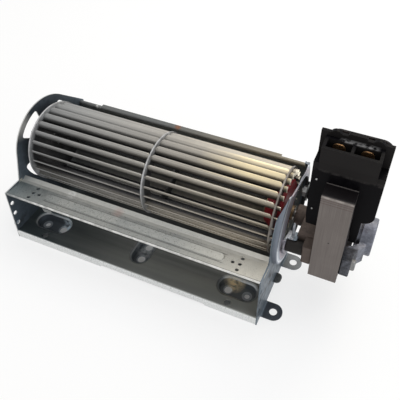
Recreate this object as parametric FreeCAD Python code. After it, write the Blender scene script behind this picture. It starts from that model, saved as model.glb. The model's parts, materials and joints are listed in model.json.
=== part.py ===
import FreeCAD, Part
import os
from math import acos, asin, atan2, cos, degrees, hypot, radians, sin, sqrt

# Cross flow fan: a sheet steel housing, a bladed impeller and a shaded-pole
# motor. Shapes are drawn about the impeller's axis, which lies along X with the
# motor at +X and the middle of the impeller at X = 0. The outlet faces -Y and +Z
# is up. Saved shapes are moved so that the origin lies in the mounting plane,
# under the middle of the whole fan. Millimetres.

os.makedirs("parts", exist_ok=True)
V = FreeCAD.Vector
X_AXIS = V(1, 0, 0)
ORIGIN = V(0, 0, 0)

# Impeller
impeller_r = 30.0
impeller_len = 181.0
disc_t = 1.0
centre_disc_hole_r = 19.0
blade_count = 25
blade_t = 0.5
blade_r_in = 23.4
blade_r_out = 29.3
blade_exit_angle = 30.0
blade_corner_r = 2.2
blade_end_gap = 0.1
blade_tab_from = 1.1
blade_tab_to = 5.3
blade_tab_out_left = 1.6
blade_tab_out_right = 2.6
slot_play = 0.08
blade_phase = 4.6
blade_overrun_angle = 12.0

# Shafts, bearings and hubs
shaft_r = 2.5
bearing_play = 0.03
bush_ball_r = 5.5
bush_len = 7.6
stub_len = 14.0
shaft_end_inset = 0.6
left_hub_r = 9.0
left_hub_boss_r = 5.0
left_hub_boss_len = 2.0
left_hub_flange_t = 1.2
hub_flange_r = 21.5
hub_flange_t = 2.2
hub_neck_r = 14.2
hub_lip_r = 16.2
hub_lip_t = 2.4
hub_cone_r = 10.5
hub_cone_len = 7.0
insert_r = 5.0
insert_len = 17.5
insert_collar_r = 7.0
insert_collar_t = 1.4

# Sheet housing
sheet_t = 0.8
left_gap = 6.1
right_gap = 3.5
base_z = -52.7
floor_z = -46.2
lip_y = -57.0
scroll_r = 40.5
scroll_top_z = 7.8
flange_w = 5.0
flange_end_cut = 2.0
flange_end_len = 20.0
lip_notch_depth = 1.6
lip_notch_len = 82.0
lip_notch_offset = 17.0
bend_r = 0.9
pad_top_r = 9.0
pad_neck_r = 7.4
pad_bottom_r = 6.5
pad_neck_drop = 1.3
side_pad_pitch = 14.0
side_pad_offset = 75.5
side_pad_y = -40.0
mid_pad_pitch = 11.2
mid_pad_y = -35.1
pad_hole_r = 2.8
pad_small_hole_r = 1.9
floor_hole_r = 2.2
floor_hole_offset = 73.4
floor_hole_y = -52.6
tongue_w = 8.0
tongue_out = 4.6
tongue_y = -21.5
wall_tongue_z = -12.0
tongue_play = 0.1

# Stabiliser strip over the outlet
strip_front_y = -52.8
strip_rear_y = -35.4
strip_z = -9.4
strip_drop = 2.2
strip_hem = 1.7
strip_lip = 1.6
strip_lip_len = 2.8
rib_y = -44.4
rib_w = 7.6
rib_h = 1.0
rib_len = 137.0
strip_hole_r = 1.25
strip_hole_offset = 78.7
strip_hole_pitch = 4.9
strip_tongue_w = 7.0
strip_tongue_out = 0.3

# End plates
plate_front_low_y = -57.2
plate_ring_r = 34.0
plate_margin = 4.5
plate_rear_inset = 0.8
plate_rear_drop = 1.2
plate_heel = 3.4
ring_end_angle = 48.0
ring_front_angle = 165.0
ring_foot_y = -38.8
ear_w = 12.6
ear_hole_r = 2.7
ear_hole_out = 7.8
ear_front_y = -44.1
ear_pitch = 43.4
plate_hole_r = 1.6
plate_hole_pitch = 9.4
plate_hole_top_z = -21.2
plate_hole_inset = 2.6
window_r_in = 14.5
window_r_out = 29.6
window_angle = 44.0
window_first = 120.5
window_corner_r = 2.0
hub_hole_r = 9.0

# Dish of the right plate
dish_r = 35.7
dish_depth = 2.7
dish_top_r = 35.2
dish_slope = 1.7
dish_hole_r = 26.0
lug_r = 6.4
lug_overlap = 7.4
lug_rise = 1.5
dish_taper_low_z = 22.0
dish_trim_front_y = -18.0
dish_trim_front_z = 30.6
dish_trim_tip_y = -11.3
dish_trim_tip_z = 27.9
dish_trim_mid_y = 7.0
dish_trim_mid_z = 26.6
dish_trim_rear_y = 30.0
dish_trim_rear_z = 18.0

# Left bearing
grommet_r = 12.0
grommet_lip = 1.8
bush_shell_r = 5.6
clip_t = 0.6

# Motor
stack_x = 117.8
stack_t = 18.0
stack_half_w = 30.0
stack_low_z = -18.7
stack_top_z = 55.0
limb_w = 10.6
window_low_z = 19.0
bar_h = 14.0
bar_step = 0.8
stack_corner_r = 1.5
rotor_r = 12.7
air_gap = 0.4
end_ring_t = 3.0
end_ring_r_in = 7.0
end_ring_inset = 0.4
shading_wire = 1.8
shading_angle = 52.0
shading_span = 34.0
shading_r_out = 17.0
shading_play = 0.1

# Coil and terminal housing
flange_x_left = 108.8
flange_x_right = 147.6
bobbin_flange_t = 1.6
bobbin_low_z = 31.0
bobbin_deck_z = 67.6
rear_flange_half_h = 14.8
bobbin_wall = 1.2
bobbin_play = 0.1
bobbin_corner_r = 7.0
deck_t = 1.6
coil_inset = 1.6
coil_half_h = 13.4
coil_corner_r = 4.0
box_front_y = -21.2
box_rear_y = -10.2
box_x_left = 112.0
box_x_right = 143.4
box_low_z = 67.4
box_top_z = 80.0
box_wall = 1.7
box_floor = 2.0
box_front_low_z = 70.0
pocket_rear_y = -12.6
ledge_y = -20.4
ledge_low_z = 62.8
ledge_step_h = 2.0
back_t = 2.2
back_top_z = 82.4
bump_h = 1.6
bump_r = 3.4
bump_offset = 11.3
crown_w = 10.0
terminal_w = 7.0
terminal_t = 0.8
terminal_top = 1.2
terminal_rear_gap = 0.9
terminal_corner_r = 2.6
terminal_root = 3.0

# Motor brackets, screws and spacers
bracket_half_h = 7.5
bracket_z = -2.0
foot_y = 24.0
foot_outer_y = 28.6
foot_inner_y = 18.6
foot_t = 6.2
bridge_t = 11.6
bridge_half_w = 13.4
cavity_half_w = 15.4
cavity_t = 7.2
boss_r = 12.4
boss_out = 15.2
boss_bore_r = 7.4
boss_in = 3.8
boss_in_r = 9.6
left_boss_r = 6.9
left_boss_out = 18.4
left_boss_bore_r = 5.7
seat_bore_r = 4.9
felt_t = 1.6
screw_r = 2.0
screw_play = 0.15
screw_head_r = 3.7
screw_head_t = 2.6
spacer_r = 4.6
nut_flats = 7.0
nut_t = 3.0
nut_play = 0.25
thrust_washer_r = 4.6
thrust_washer_t = 0.8
thrust_play = 0.3

# Derived places
disc_x_left = -impeller_len / 2
disc_x_right = impeller_len / 2
left_in_x = disc_x_left - left_gap
left_out_x = left_in_x - sheet_t
right_in_x = disc_x_right + right_gap
right_out_x = right_in_x + sheet_t
housing_mid_x = (left_in_x + right_in_x) / 2
scroll_z = floor_z + scroll_r
plate_arc_r = scroll_r + plate_margin
plate_rear_y = plate_arc_r - plate_rear_inset
plate_rear_z = scroll_top_z - plate_rear_drop
stack_x2 = stack_x + stack_t
bore_r = rotor_r + air_gap
screw_z = bracket_z
dish_corner_x = right_in_x + dish_depth
lug_face_x = dish_corner_x + dish_slope + sheet_t + lug_rise
nut_corner_r = nut_flats / sqrt(3)
bush_depth = felt_t + clip_t + bush_len / 2
bar_low_z = stack_top_z - bar_h
window_half_w = stack_half_w - limb_w
bar_half_len = window_half_w + bar_step
bar_mid_z = stack_top_z - bar_h / 2
ear_end_x = left_in_x - ear_hole_out - ear_w / 2
motor_end_x = stack_x2 + boss_out
origin_x = (ear_end_x + motor_end_x) / 2
origin_y = (plate_front_low_y + plate_arc_r) / 2


# Helpers
def box(x0, x1, y0, y1, z0, z1):
    return Part.makeBox(x1 - x0, y1 - y0, z1 - z0, V(x0, y0, z0))


def rod(r, x0, x1, y=0.0, z=0.0):
    """A cylinder along X."""
    return Part.makeCylinder(r, x1 - x0, V(x0, y, z), X_AXIS)


def polar(r, angle):
    """A point of the YZ plane at a radius and an angle in degrees from +Y."""
    return r * cos(radians(angle)), r * sin(radians(angle))


def turned(points):
    """A solid turned about the X axis from a closed outline of (x, r) points."""
    outline = [V(x, 0, r) for x, r in points]
    face = Part.Face(Part.makePolygon(outline + outline[:1]))
    return face.revolve(ORIGIN, X_AXIS, 360)


def slab_x(points, x0, x1):
    """A plate between x0 and x1 from an outline in the YZ plane.

    A point is (y, z); (y, z, ym, zm) reaches (y, z) by an arc through (ym, zm).
    """
    edges = []
    for here, there in zip(points, points[1:] + points[:1]):
        a = V(x0, here[0], here[1])
        b = V(x0, there[0], there[1])
        if len(there) == 4:
            edges.append(Part.Arc(a, V(x0, there[2], there[3]), b).toShape())
        else:
            edges.append(Part.makeLine(a, b))
    return Part.Face(Part.Wire(edges)).extrude(V(x1 - x0, 0, 0))


def racetrack(x, y, z, pitch, r, along_x):
    """A flat slot outline in an XY plane: two half circles and two lines."""
    h = pitch / 2
    if along_x:
        corners = [V(x - h, y - r, z), V(x + h, y - r, z), V(x + h, y + r, z), V(x - h, y + r, z)]
        mids = [V(x + h + r, y, z), V(x - h - r, y, z)]
    else:
        corners = [V(x + r, y - h, z), V(x + r, y + h, z), V(x - r, y + h, z), V(x - r, y - h, z)]
        mids = [V(x, y + h + r, z), V(x, y - h - r, z)]
    return Part.Wire([
        Part.makeLine(corners[0], corners[1]),
        Part.Arc(corners[1], mids[0], corners[2]).toShape(),
        Part.makeLine(corners[2], corners[3]),
        Part.Arc(corners[3], mids[1], corners[0]).toShape(),
    ])


def rounded(shape, r, wanted):
    """Fillet the straight edges for which wanted(middle, direction) holds."""
    edges = []
    for edge in shape.Edges:
        if not isinstance(edge.Curve, Part.Line):
            continue
        a, b = edge.Vertexes[0].Point, edge.Vertexes[-1].Point
        if wanted((a + b) * 0.5, (b - a).normalize()):
            edges.append(edge)
    return shape.makeFillet(r, edges)


def mirrored_x(shape, x):
    return shape.mirror(V(x, 0, 0), X_AXIS)


def save(name, shape):
    moved = shape.copy()
    moved.translate(V(-origin_x, -origin_y, -base_z))
    moved.exportStep("parts/" + name + ".step")


def save_group(name, solids):
    save(name, Part.makeCompound(solids))


# Blades
# The blade's section is an arc that is radial at its inner edge and leans
# forward, towards -angle, to the exit angle at its outer edge.
def blade_arc():
    """The arc's radius, its centre, and the outer edge's point."""
    lead = radians(blade_exit_angle)
    r = (blade_r_out ** 2 - blade_r_in ** 2) / (2 * blade_r_out * cos(lead))
    centre = (blade_r_in, -r)
    centre_r = hypot(*centre)
    swing = acos((blade_r_out ** 2 + centre_r ** 2 - r ** 2) / (2 * blade_r_out * centre_r))
    tip_angle = atan2(centre[1], centre[0]) + swing
    return r, centre, (blade_r_out * cos(tip_angle), blade_r_out * sin(tip_angle))


arc_r, arc_centre, blade_tip = blade_arc()
chord_len = hypot(blade_tip[0] - blade_r_in, blade_tip[1])
chord_angle = degrees(atan2(blade_tip[1], blade_tip[0] - blade_r_in))


def blade_shell(t, x0, x1):
    """The curved sheet of a blade, a little longer than its outer edge."""
    tip = degrees(atan2(blade_tip[1] - arc_centre[1], blade_tip[0] - arc_centre[0]))
    first = tip - blade_overrun_angle
    mid = (first + 90) / 2
    centre = V(0, arc_centre[0], arc_centre[1])

    def at(r, angle):
        y, z = polar(r, angle)
        return V(x0, centre.y + y, centre.z + z)

    outer, inner = arc_r + t / 2, arc_r - t / 2
    edges = [
        Part.Arc(at(outer, first), at(outer, mid), at(outer, 90)).toShape(),
        Part.makeLine(at(outer, 90), at(inner, 90)),
        Part.Arc(at(inner, 90), at(inner, mid), at(inner, first)).toShape(),
        Part.makeLine(at(inner, first), at(outer, first)),
    ]
    return Part.Face(Part.Wire(edges)).extrude(V(x1 - x0, 0, 0))


def chord_box(x0, x1, s0, s1):
    """A block over the blade, from s0 to s1 along the blade's chord."""
    block = box(x0, x1, s0, s1, -blade_r_in / 4, blade_r_in / 4)
    block.rotate(ORIGIN, X_AXIS, chord_angle)
    block.translate(V(0, blade_r_in, 0))
    return block


def blade_solid():
    """One blade: two wide lengths with rounded outer corners, and the tabs."""
    x0 = disc_x_left - blade_tab_out_left
    x1 = disc_x_right + blade_tab_out_right
    blank = box(x0, x1, blade_tab_from, blade_tab_to, -blade_r_in / 4, blade_r_in / 4)
    spans = [
        (disc_x_left + disc_t + blade_end_gap, -disc_t / 2 - blade_end_gap),
        (disc_t / 2 + blade_end_gap, disc_x_right - disc_t - blade_end_gap),
    ]
    for a, b in spans:
        wide = box(a, b, -1.0, chord_len, -blade_r_in / 4, blade_r_in / 4)
        wide = rounded(wide, blade_corner_r, lambda m, d: abs(d.z) > 0.9 and m.y > 1)
        blank = blank.fuse(wide)
    blank.rotate(ORIGIN, X_AXIS, chord_angle)
    blank.translate(V(0, blade_r_in, 0))
    return blank.common(blade_shell(blade_t, x0, x1)).Solids[0]


def round_impeller(shape):
    """Copies of a shape at every blade's angle."""
    copies = []
    for i in range(blade_count):
        one = shape.copy()
        one.rotate(ORIGIN, X_AXIS, blade_phase + i * 360.0 / blade_count)
        copies.append(one)
    return copies


def slotted_disc(x0, hole_r):
    disc = rod(impeller_r, x0, x0 + disc_t).cut(rod(hole_r, x0, x0 + disc_t))
    slot = blade_shell(blade_t + 2 * slot_play, x0, x0 + disc_t)
    keep = chord_box(x0, x0 + disc_t, blade_tab_from - slot_play, blade_tab_to + slot_play)
    return disc.cut(Part.makeCompound(round_impeller(slot.common(keep))))


save_group("impeller_blades", round_impeller(blade_solid()))
save("left_end_disc", slotted_disc(disc_x_left, left_hub_boss_r))
save("centre_disc", slotted_disc(-disc_t / 2, centre_disc_hole_r))
save("right_end_disc", slotted_disc(disc_x_right - disc_t, hub_neck_r))


# Hubs and turning shafts
def left_hub():
    """Steel hub riveted through the left disc: a flange and a boss."""
    x_in = disc_x_left + disc_t
    return turned([
        (x_in, shaft_r),
        (x_in + left_hub_flange_t, shaft_r),
        (x_in + left_hub_flange_t, left_hub_r - 0.4),
        (x_in + left_hub_flange_t - 0.4, left_hub_r),
        (x_in, left_hub_r),
        (x_in, left_hub_boss_r),
        (disc_x_left - left_hub_boss_len, left_hub_boss_r),
        (disc_x_left - left_hub_boss_len, shaft_r),
    ])


def left_stub_shaft():
    x_in = disc_x_left + disc_t + left_hub_flange_t
    shaft = rod(shaft_r, x_in - stub_len - disc_t, x_in)
    return shaft.makeChamfer(0.4, [e for e in shaft.Edges if isinstance(e.Curve, Part.Circle)])


def drive_hub():
    """Silicone coupling: flange outside the disc, neck in it, lip and cone inside."""
    lip_x = disc_x_right - disc_t
    cone_x = lip_x - hub_lip_t
    end_x = cone_x - hub_cone_len
    return turned([
        (disc_x_right + hub_flange_t, insert_r),
        (disc_x_right + hub_flange_t, hub_flange_r - 0.8),
        (disc_x_right + hub_flange_t - 0.8, hub_flange_r),
        (disc_x_right, hub_flange_r),
        (disc_x_right, hub_neck_r),
        (lip_x, hub_neck_r),
        (lip_x, hub_lip_r),
        (cone_x, hub_lip_r - 0.8),
        (end_x, hub_cone_r),
        (end_x, insert_r),
    ])


hub_end_x = disc_x_right - disc_t - hub_lip_t - hub_cone_len


def drive_hub_insert():
    """Metal sleeve in the coupling, with a collar against its inner end."""
    return turned([
        (hub_end_x - insert_collar_t, shaft_r),
        (hub_end_x - insert_collar_t, insert_collar_r),
        (hub_end_x, insert_collar_r),
        (hub_end_x, insert_r),
        (hub_end_x + insert_len, insert_r),
        (hub_end_x + insert_len, shaft_r),
    ])


def motor_shaft():
    shaft = rod(shaft_r, hub_end_x - insert_collar_t, motor_end_x - shaft_end_inset)
    return shaft.makeChamfer(0.4, [e for e in shaft.Edges if isinstance(e.Curve, Part.Circle)])


def rotor_end_ring(x0):
    return turned([
        (x0, end_ring_r_in),
        (x0, rotor_r - end_ring_inset),
        (x0 + end_ring_t, rotor_r - end_ring_inset - 0.5),
        (x0 + end_ring_t, end_ring_r_in),
    ])


def ring(r_in, r_out, x0, x1):
    return rod(r_out, x0, x1).cut(rod(r_in, x0, x1))


def washer_pair():
    """Thrust washers on the shaft, just inside the two motor bushes."""
    bush_in = bush_depth + bush_len / 2
    left = stack_x - left_boss_out + bush_in + thrust_play
    right = motor_end_x - bush_in - thrust_play - thrust_washer_t
    return [ring(shaft_r, thrust_washer_r, x, x + thrust_washer_t) for x in (left, right)]


save("left_hub", left_hub())
save("left_stub_shaft", left_stub_shaft())
save("drive_hub", drive_hub())
save("drive_hub_insert", drive_hub_insert())
save("motor_shaft", motor_shaft())
save("rotor_core", ring(shaft_r, rotor_r, stack_x, stack_x2))
right_ring = rotor_end_ring(stack_x2)
save_group("rotor_end_rings", [mirrored_x(right_ring, (stack_x + stack_x2) / 2), right_ring])
save_group("thrust_washers", washer_pair())


# Scroll housing
wall_angle = degrees(asin((scroll_top_z - scroll_z) / scroll_r))


def scroll_profile():
    """The folded sheet's section: lip, floor, scroll wall and top flange."""
    t = sheet_t
    r_out = scroll_r + t
    out_angle = degrees(asin((scroll_top_z - t - scroll_z) / r_out))
    y_in, z_in = polar(scroll_r, wall_angle)
    y_out, z_out = polar(r_out, out_angle)
    y_mid, z_mid = polar(scroll_r, (wall_angle - 90) / 2)
    y_mid_out, z_mid_out = polar(r_out, (out_angle - 90) / 2)
    return [
        (lip_y, base_z),
        (lip_y, floor_z),
        (0.0, floor_z),
        (y_in, scroll_z + z_in, y_mid, scroll_z + z_mid),
        (y_in + flange_w, scroll_top_z),
        (y_in + flange_w, scroll_top_z - t),
        (y_out, scroll_z + z_out),
        (0.0, floor_z - t, y_mid_out, scroll_z + z_mid_out),
        (lip_y + t, floor_z - t),
        (lip_y + t, base_z),
    ]


def pad(x, y, pitch, along_x):
    """A sunk mounting pad: the drawn bowl and the hollow that it leaves."""
    low = base_z + sheet_t
    top = floor_z - sheet_t / 2
    neck_z = floor_z - pad_neck_drop
    bowl = Part.makeLoft([
        racetrack(x, y, base_z, pitch, pad_bottom_r, along_x),
        racetrack(x, y, neck_z - sheet_t / 2, pitch, pad_neck_r, along_x),
        racetrack(x, y, top, pitch, pad_top_r, along_x),
    ], True, True)
    hollow = Part.makeLoft([
        racetrack(x, y, low, pitch, pad_bottom_r - sheet_t, along_x),
        racetrack(x, y, neck_z, pitch, pad_neck_r - sheet_t, along_x),
        racetrack(x, y, floor_z + 0.01, pitch, pad_top_r - sheet_t, along_x),
    ], True, True)
    return bowl, hollow


def drill_z(r, x, y, z0, z1):
    return Part.makeCylinder(r, z1 - z0, V(x, y, z0))


def scroll_housing():
    shape = slab_x(scroll_profile(), left_in_x, right_in_x)
    shape = rounded(shape, bend_r + sheet_t, lambda m, d: abs(d.x) > 0.9
                    and abs(m.y - lip_y) < 0.01 and abs(m.z - floor_z) < 0.01)
    shape = rounded(shape, bend_r, lambda m, d: abs(d.x) > 0.9
                    and abs(m.y - lip_y - sheet_t) < 0.01 and abs(m.z - floor_z + sheet_t) < 0.01)
    wall_y = polar(scroll_r, wall_angle)[0]
    shape = rounded(shape, bend_r + sheet_t, lambda m, d: abs(d.x) > 0.9
                    and abs(m.y - wall_y) < 0.01 and abs(m.z - scroll_top_z) < 0.01)
    flange_y = wall_y + flange_w
    for x0, x1 in ((left_in_x, left_in_x + flange_end_len), (right_in_x - flange_end_len, right_in_x)):
        shape = shape.cut(box(x0, x1, flange_y - flange_end_cut, flange_y + 1,
                              scroll_top_z - 2, scroll_top_z + 1))
    notch_x = housing_mid_x + lip_notch_offset - lip_notch_len / 2
    notch = box(notch_x, notch_x + lip_notch_len,
                lip_y - 1, lip_y + 2, base_z - 1, base_z + lip_notch_depth)
    shape = shape.cut(notch)
    holes = []
    for side in (-1, 1):
        x = housing_mid_x + side * side_pad_offset
        bowl, hollow = pad(x, side_pad_y, side_pad_pitch, True)
        shape = shape.fuse(bowl).cut(hollow)
        reach = side * side_pad_pitch / 2
        holes.append(drill_z(pad_small_hole_r, x + reach, side_pad_y, base_z - 1, floor_z))
        holes.append(drill_z(pad_hole_r, x - reach, side_pad_y, base_z - 1, floor_z))
        x_hole = housing_mid_x + side * floor_hole_offset
        holes.append(drill_z(floor_hole_r, x_hole, floor_hole_y, floor_z - 2, floor_z + 1))
    bowl, hollow = pad(housing_mid_x, mid_pad_y, mid_pad_pitch, False)
    shape = shape.fuse(bowl).cut(hollow)
    for y in (mid_pad_y - mid_pad_pitch / 2, mid_pad_y + mid_pad_pitch / 2):
        holes.append(drill_z(pad_hole_r, housing_mid_x, y, base_z - 1, floor_z))
    shape = shape.cut(Part.makeCompound(holes))
    for tongue in side_tongues():
        shape = shape.fuse(tongue)
    return shape.removeSplitter().Solids[0]


def floor_tongue(x0, x1):
    """A rounded tongue of the floor that passes through an end plate."""
    flat = box(x0, x1, tongue_y - tongue_w / 2, tongue_y + tongue_w / 2, floor_z - sheet_t, floor_z)
    outer = x1 if x1 > 0 else x0
    return rounded(flat, tongue_w * 0.4, lambda m, d: abs(d.z) > 0.9 and abs(m.x - outer) < 0.01)


def wall_tongue(x0, x1, play=0.0):
    """A straight tongue of the rear wall that passes through an end plate."""
    y, z = polar(scroll_r, degrees(asin((wall_tongue_z - scroll_z) / scroll_r)))
    return box(x0, x1, y - play, y + sheet_t + play,
               scroll_z + z - tongue_w / 2 - play, scroll_z + z + tongue_w / 2 + play)


def side_tongues():
    short = sheet_t + strip_tongue_out
    return [
        floor_tongue(left_in_x - sheet_t - tongue_out, left_in_x + 1),
        floor_tongue(right_in_x - 1, right_in_x + sheet_t + tongue_out),
        wall_tongue(left_in_x - short, left_in_x + 1),
        wall_tongue(right_in_x - 1, right_in_x + short),
    ]


def strip_tongue(x0, x1, play=0.0):
    return box(x0, x1, rib_y - strip_tongue_w / 2 - play, rib_y + strip_tongue_w / 2 + play,
               strip_level(rib_y) - sheet_t - play, strip_level(rib_y) + play)


def strip_level(y):
    """Height of the strip's upper face, which falls towards the rear."""
    share = (y - strip_front_y) / (strip_rear_y - strip_front_y)
    return strip_z - strip_drop * share


def tongue_slots(x0, x1):
    """The slots that an end plate has for the tongues."""
    p = tongue_play
    floor_slot = box(x0, x1, tongue_y - tongue_w / 2 - p, tongue_y + tongue_w / 2 + p,
                     floor_z - sheet_t - p, floor_z + p)
    return [floor_slot, wall_tongue(x0, x1, p), strip_tongue(x0, x1, p)]


def stabiliser_strip():
    """Pale strip: flat top, front hem turned down, rear lip turned up, rib and holes."""
    t = sheet_t
    profile = [
        (strip_front_y, strip_z - strip_hem),
        (strip_front_y, strip_z),
        (strip_rear_y, strip_level(strip_rear_y)),
        (strip_rear_y + strip_lip_len, strip_level(strip_rear_y) + strip_lip),
        (strip_rear_y + strip_lip_len, strip_level(strip_rear_y) + strip_lip - t),
        (strip_rear_y, strip_level(strip_rear_y) - t),
        (strip_front_y + t, strip_z - t),
        (strip_front_y + t, strip_z - strip_hem),
    ]
    shape = slab_x(profile, left_in_x, right_in_x)
    level = strip_level(rib_y)
    pitch = rib_len - rib_w
    rib = Part.makeLoft([
        racetrack(housing_mid_x, rib_y, level - t, pitch, rib_w / 2, True),
        racetrack(housing_mid_x, rib_y, level + rib_h, pitch, rib_w / 2 - rib_h, True),
    ], True)
    hollow = Part.makeLoft([
        racetrack(housing_mid_x, rib_y, level - t - 0.3, pitch, rib_w / 2 - t, True),
        racetrack(housing_mid_x, rib_y, level + rib_h - t, pitch, rib_w / 2 - rib_h - t, True),
    ], True)
    shape = shape.fuse(rib).cut(hollow)
    holes = []
    for side in (-1, 1):
        x = housing_mid_x + side * strip_hole_offset
        for row in (-1, 0, 1):
            holes.append(drill_z(strip_hole_r, x, rib_y + row * strip_hole_pitch, level - 4, level + 4))
        holes.append(drill_z(strip_hole_r, x - side * strip_hole_pitch, rib_y, level - 4, level + 4))
    shape = shape.cut(Part.makeCompound(holes))
    reach = sheet_t + strip_tongue_out
    shape = shape.fuse(strip_tongue(left_in_x - reach, left_in_x + 1))
    shape = shape.fuse(strip_tongue(right_in_x - 1, right_in_x + reach))
    return shape.removeSplitter().Solids[0]


save("scroll_housing", scroll_housing())
save("stabiliser_strip", stabiliser_strip())


# End plates
def plate_outline():
    """Side outline: straight front, flat base, scroll-shaped rear, ring on top."""
    y_low, z_low = polar(plate_arc_r, -70)
    heel_y = y_low - plate_heel
    y_mid, z_mid = polar(plate_arc_r, -30)
    y_high, z_high = polar(plate_arc_r, 8)
    ring_rear = polar(plate_ring_r, ring_end_angle)
    ring_front = polar(plate_ring_r, ring_front_angle)
    ring_top = polar(plate_ring_r, (ring_end_angle + ring_front_angle) / 2)
    return [
        (strip_front_y - 0.2, strip_z),
        (plate_front_low_y, base_z),
        (heel_y, base_z),
        (y_low, scroll_z + z_low),
        (y_high, scroll_z + z_high, y_mid, scroll_z + z_mid),
        (plate_rear_y, plate_rear_z),
        ring_rear,
        (ring_front[0], ring_front[1], ring_top[0], ring_top[1]),
        (ring_foot_y, strip_z),
    ]


def ear(x_plate, side, y):
    """A flat ear turned out at the base, with a round end and a hole."""
    x_hole = x_plate + side * ear_hole_out
    z1 = base_z + sheet_t
    x0, x1 = sorted((x_plate, x_hole))
    flat = box(x0, x1, y - ear_w / 2, y + ear_w / 2, base_z, z1)
    return flat.fuse(drill_z(ear_w / 2, x_hole, y, base_z, z1)).cut(
        drill_z(ear_hole_r, x_hole, y, base_z - 1, z1 + 1))


def with_ears(shape, x_in, x_out, side):
    for y in (ear_front_y, ear_front_y + ear_pitch):
        shape = shape.fuse(ear(x_in, side, y))
    shape = shape.removeSplitter()
    z_bend = base_z + sheet_t
    return rounded(shape, bend_r, lambda m, d: abs(d.y) > 0.9
                   and abs(m.x - x_out) < 0.01 and abs(m.z - z_bend) < 0.01)


def front_holes(x0, x1):
    """Three holes down the plate's front edge."""
    slope = (plate_front_low_y - strip_front_y) / (base_z - strip_z)
    holes = []
    for i in range(3):
        z = plate_hole_top_z - i * plate_hole_pitch
        y = strip_front_y + slope * (z - strip_z) + plate_hole_inset
        holes.append(rod(plate_hole_r, x0, x1, y, z))
    return holes


def window(middle, x0, x1):
    """An annular window in the left plate, with rounded corners."""
    a0, a1 = middle - window_angle / 2, middle + window_angle / 2
    r0, r1 = window_r_in, window_r_out
    shape = slab_x([
        polar(r0, a0) + polar(r0, middle),
        polar(r1, a0),
        polar(r1, a1) + polar(r1, middle),
        polar(r0, a1),
    ], x0, x1)
    return rounded(shape, window_corner_r, lambda m, d: abs(d.x) > 0.9)


def left_end_plate():
    x0, x1 = left_out_x, left_in_x
    shape = slab_x(plate_outline(), x0, x1)
    shape = with_ears(shape, x1, x0, -1)
    cuts = front_holes(x0, x1) + tongue_slots(x0, x1)
    cuts.append(rod(hub_hole_r, x0, x1))
    cuts += [window(window_first + 90 * i, x0, x1) for i in range(4)]
    return shape.cut(Part.makeCompound(cuts)).Solids[0]


def dish():
    """The raised dish round the motor end: a steep wall, a shallow cone, the top trimmed off."""
    t = sheet_t
    x0, x1 = right_in_x, dish_corner_x
    body = turned([
        (x0, dish_r + 1.0),
        (x0, dish_r - t),
        (x1, dish_top_r - t),
        (x1 + dish_slope, dish_hole_r),
        (x1 + dish_slope + t, dish_hole_r),
        (x1 + t, dish_top_r),
        (x0 + t, dish_r),
        (x0 + t, dish_r + 1.0),
    ])
    far = dish_r + 4
    front = Part.Face(Part.makePolygon([
        V(x0 - 1, 0, dish_taper_low_z), V(x0, 0, dish_taper_low_z), V(x1 + t, 0, dish_trim_front_z),
        V(x1 + t, 0, far), V(x0 - 1, 0, far), V(x0 - 1, 0, dish_taper_low_z)]))
    above = slab_x([
        (-far, dish_trim_front_z),
        (dish_trim_front_y, dish_trim_front_z),
        (dish_trim_tip_y, dish_trim_tip_z),
        (dish_trim_mid_y, dish_trim_mid_z),
        (dish_trim_rear_y, dish_trim_rear_z),
        (far, dish_trim_rear_z),
        (far, far),
        (-far, far),
    ], x0 - 1, x1 + dish_slope + 2 * t)
    return body.cut(front.extrude(V(0, -far, 0))).cut(above)


def motor_lug(side):
    """A lug of the dish, stepped out from its cone, that reaches inwards under a motor screw."""
    y = side * foot_y
    x1 = lug_face_x
    x0 = x1 - sheet_t
    outer = side * (dish_top_r - lug_overlap)
    y0, y1 = sorted((y, outer))
    flat = rod(lug_r, x0, x1, y, screw_z).fuse(
        box(x0, x1, y0, y1, screw_z - lug_r, screw_z + lug_r))
    y2, y3 = sorted((outer, outer - side * sheet_t))
    step = box(dish_corner_x + dish_slope, x1, y2, y3, screw_z - lug_r, screw_z + lug_r)
    return flat.fuse(step)


def right_end_plate():
    x0, x1 = right_in_x, right_out_x
    shape = slab_x(plate_outline(), x0, x1)
    shape = shape.cut(rod(dish_r + 0.5, x0, x1)).fuse(dish())
    shape = max(shape.removeSplitter().Solids, key=lambda s: s.Volume)
    for side in (-1, 1):
        shape = shape.fuse(motor_lug(side))
    shape = with_ears(shape, x0, x1, 1)
    cuts = front_holes(x0, x1) + tongue_slots(x0, x1)
    for side in (-1, 1):
        cuts.append(rod(screw_r + screw_play, x0, lug_face_x + 1, side * foot_y, screw_z))
        cuts.append(rod(nut_corner_r + nut_play, x0, lug_face_x - sheet_t, side * foot_y, screw_z))
    return shape.cut(Part.makeCompound(cuts)).Solids[0]


save("left_end_plate", left_end_plate())
save("right_end_plate", right_end_plate())


# Left bearing
bush_x = left_out_x + sheet_t / 2


def left_bearing_grommet():
    """Rubber ring, grooved for the plate's hole, with a seat for the bush."""
    x0, x1 = left_out_x, left_in_x
    half = bush_len / 2
    return turned([
        (bush_x - half, bush_shell_r),
        (bush_x - half, bush_shell_r + 2.2),
        (x0 - grommet_lip, grommet_r - 0.8),
        (x0, grommet_r),
        (x0, hub_hole_r),
        (x1, hub_hole_r),
        (x1, grommet_r),
        (x1 + grommet_lip, grommet_r - 0.8),
        (x1 + grommet_lip, bush_shell_r),
    ])


def left_bearing_bush():
    half = bush_len / 2
    return ring(shaft_r + bearing_play, bush_shell_r, bush_x - half, bush_x + half - 1.0)


def left_bearing_clip():
    """Split spring ring against the outer end of the bush."""
    x0 = bush_x - bush_len / 2 - clip_t
    clip = ring(shaft_r + 1.2, bush_shell_r + 1.4, x0, x0 + clip_t)
    return clip.cut(box(x0, x0 + clip_t, -0.8, 0.8, 0, bush_shell_r + 3))


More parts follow.
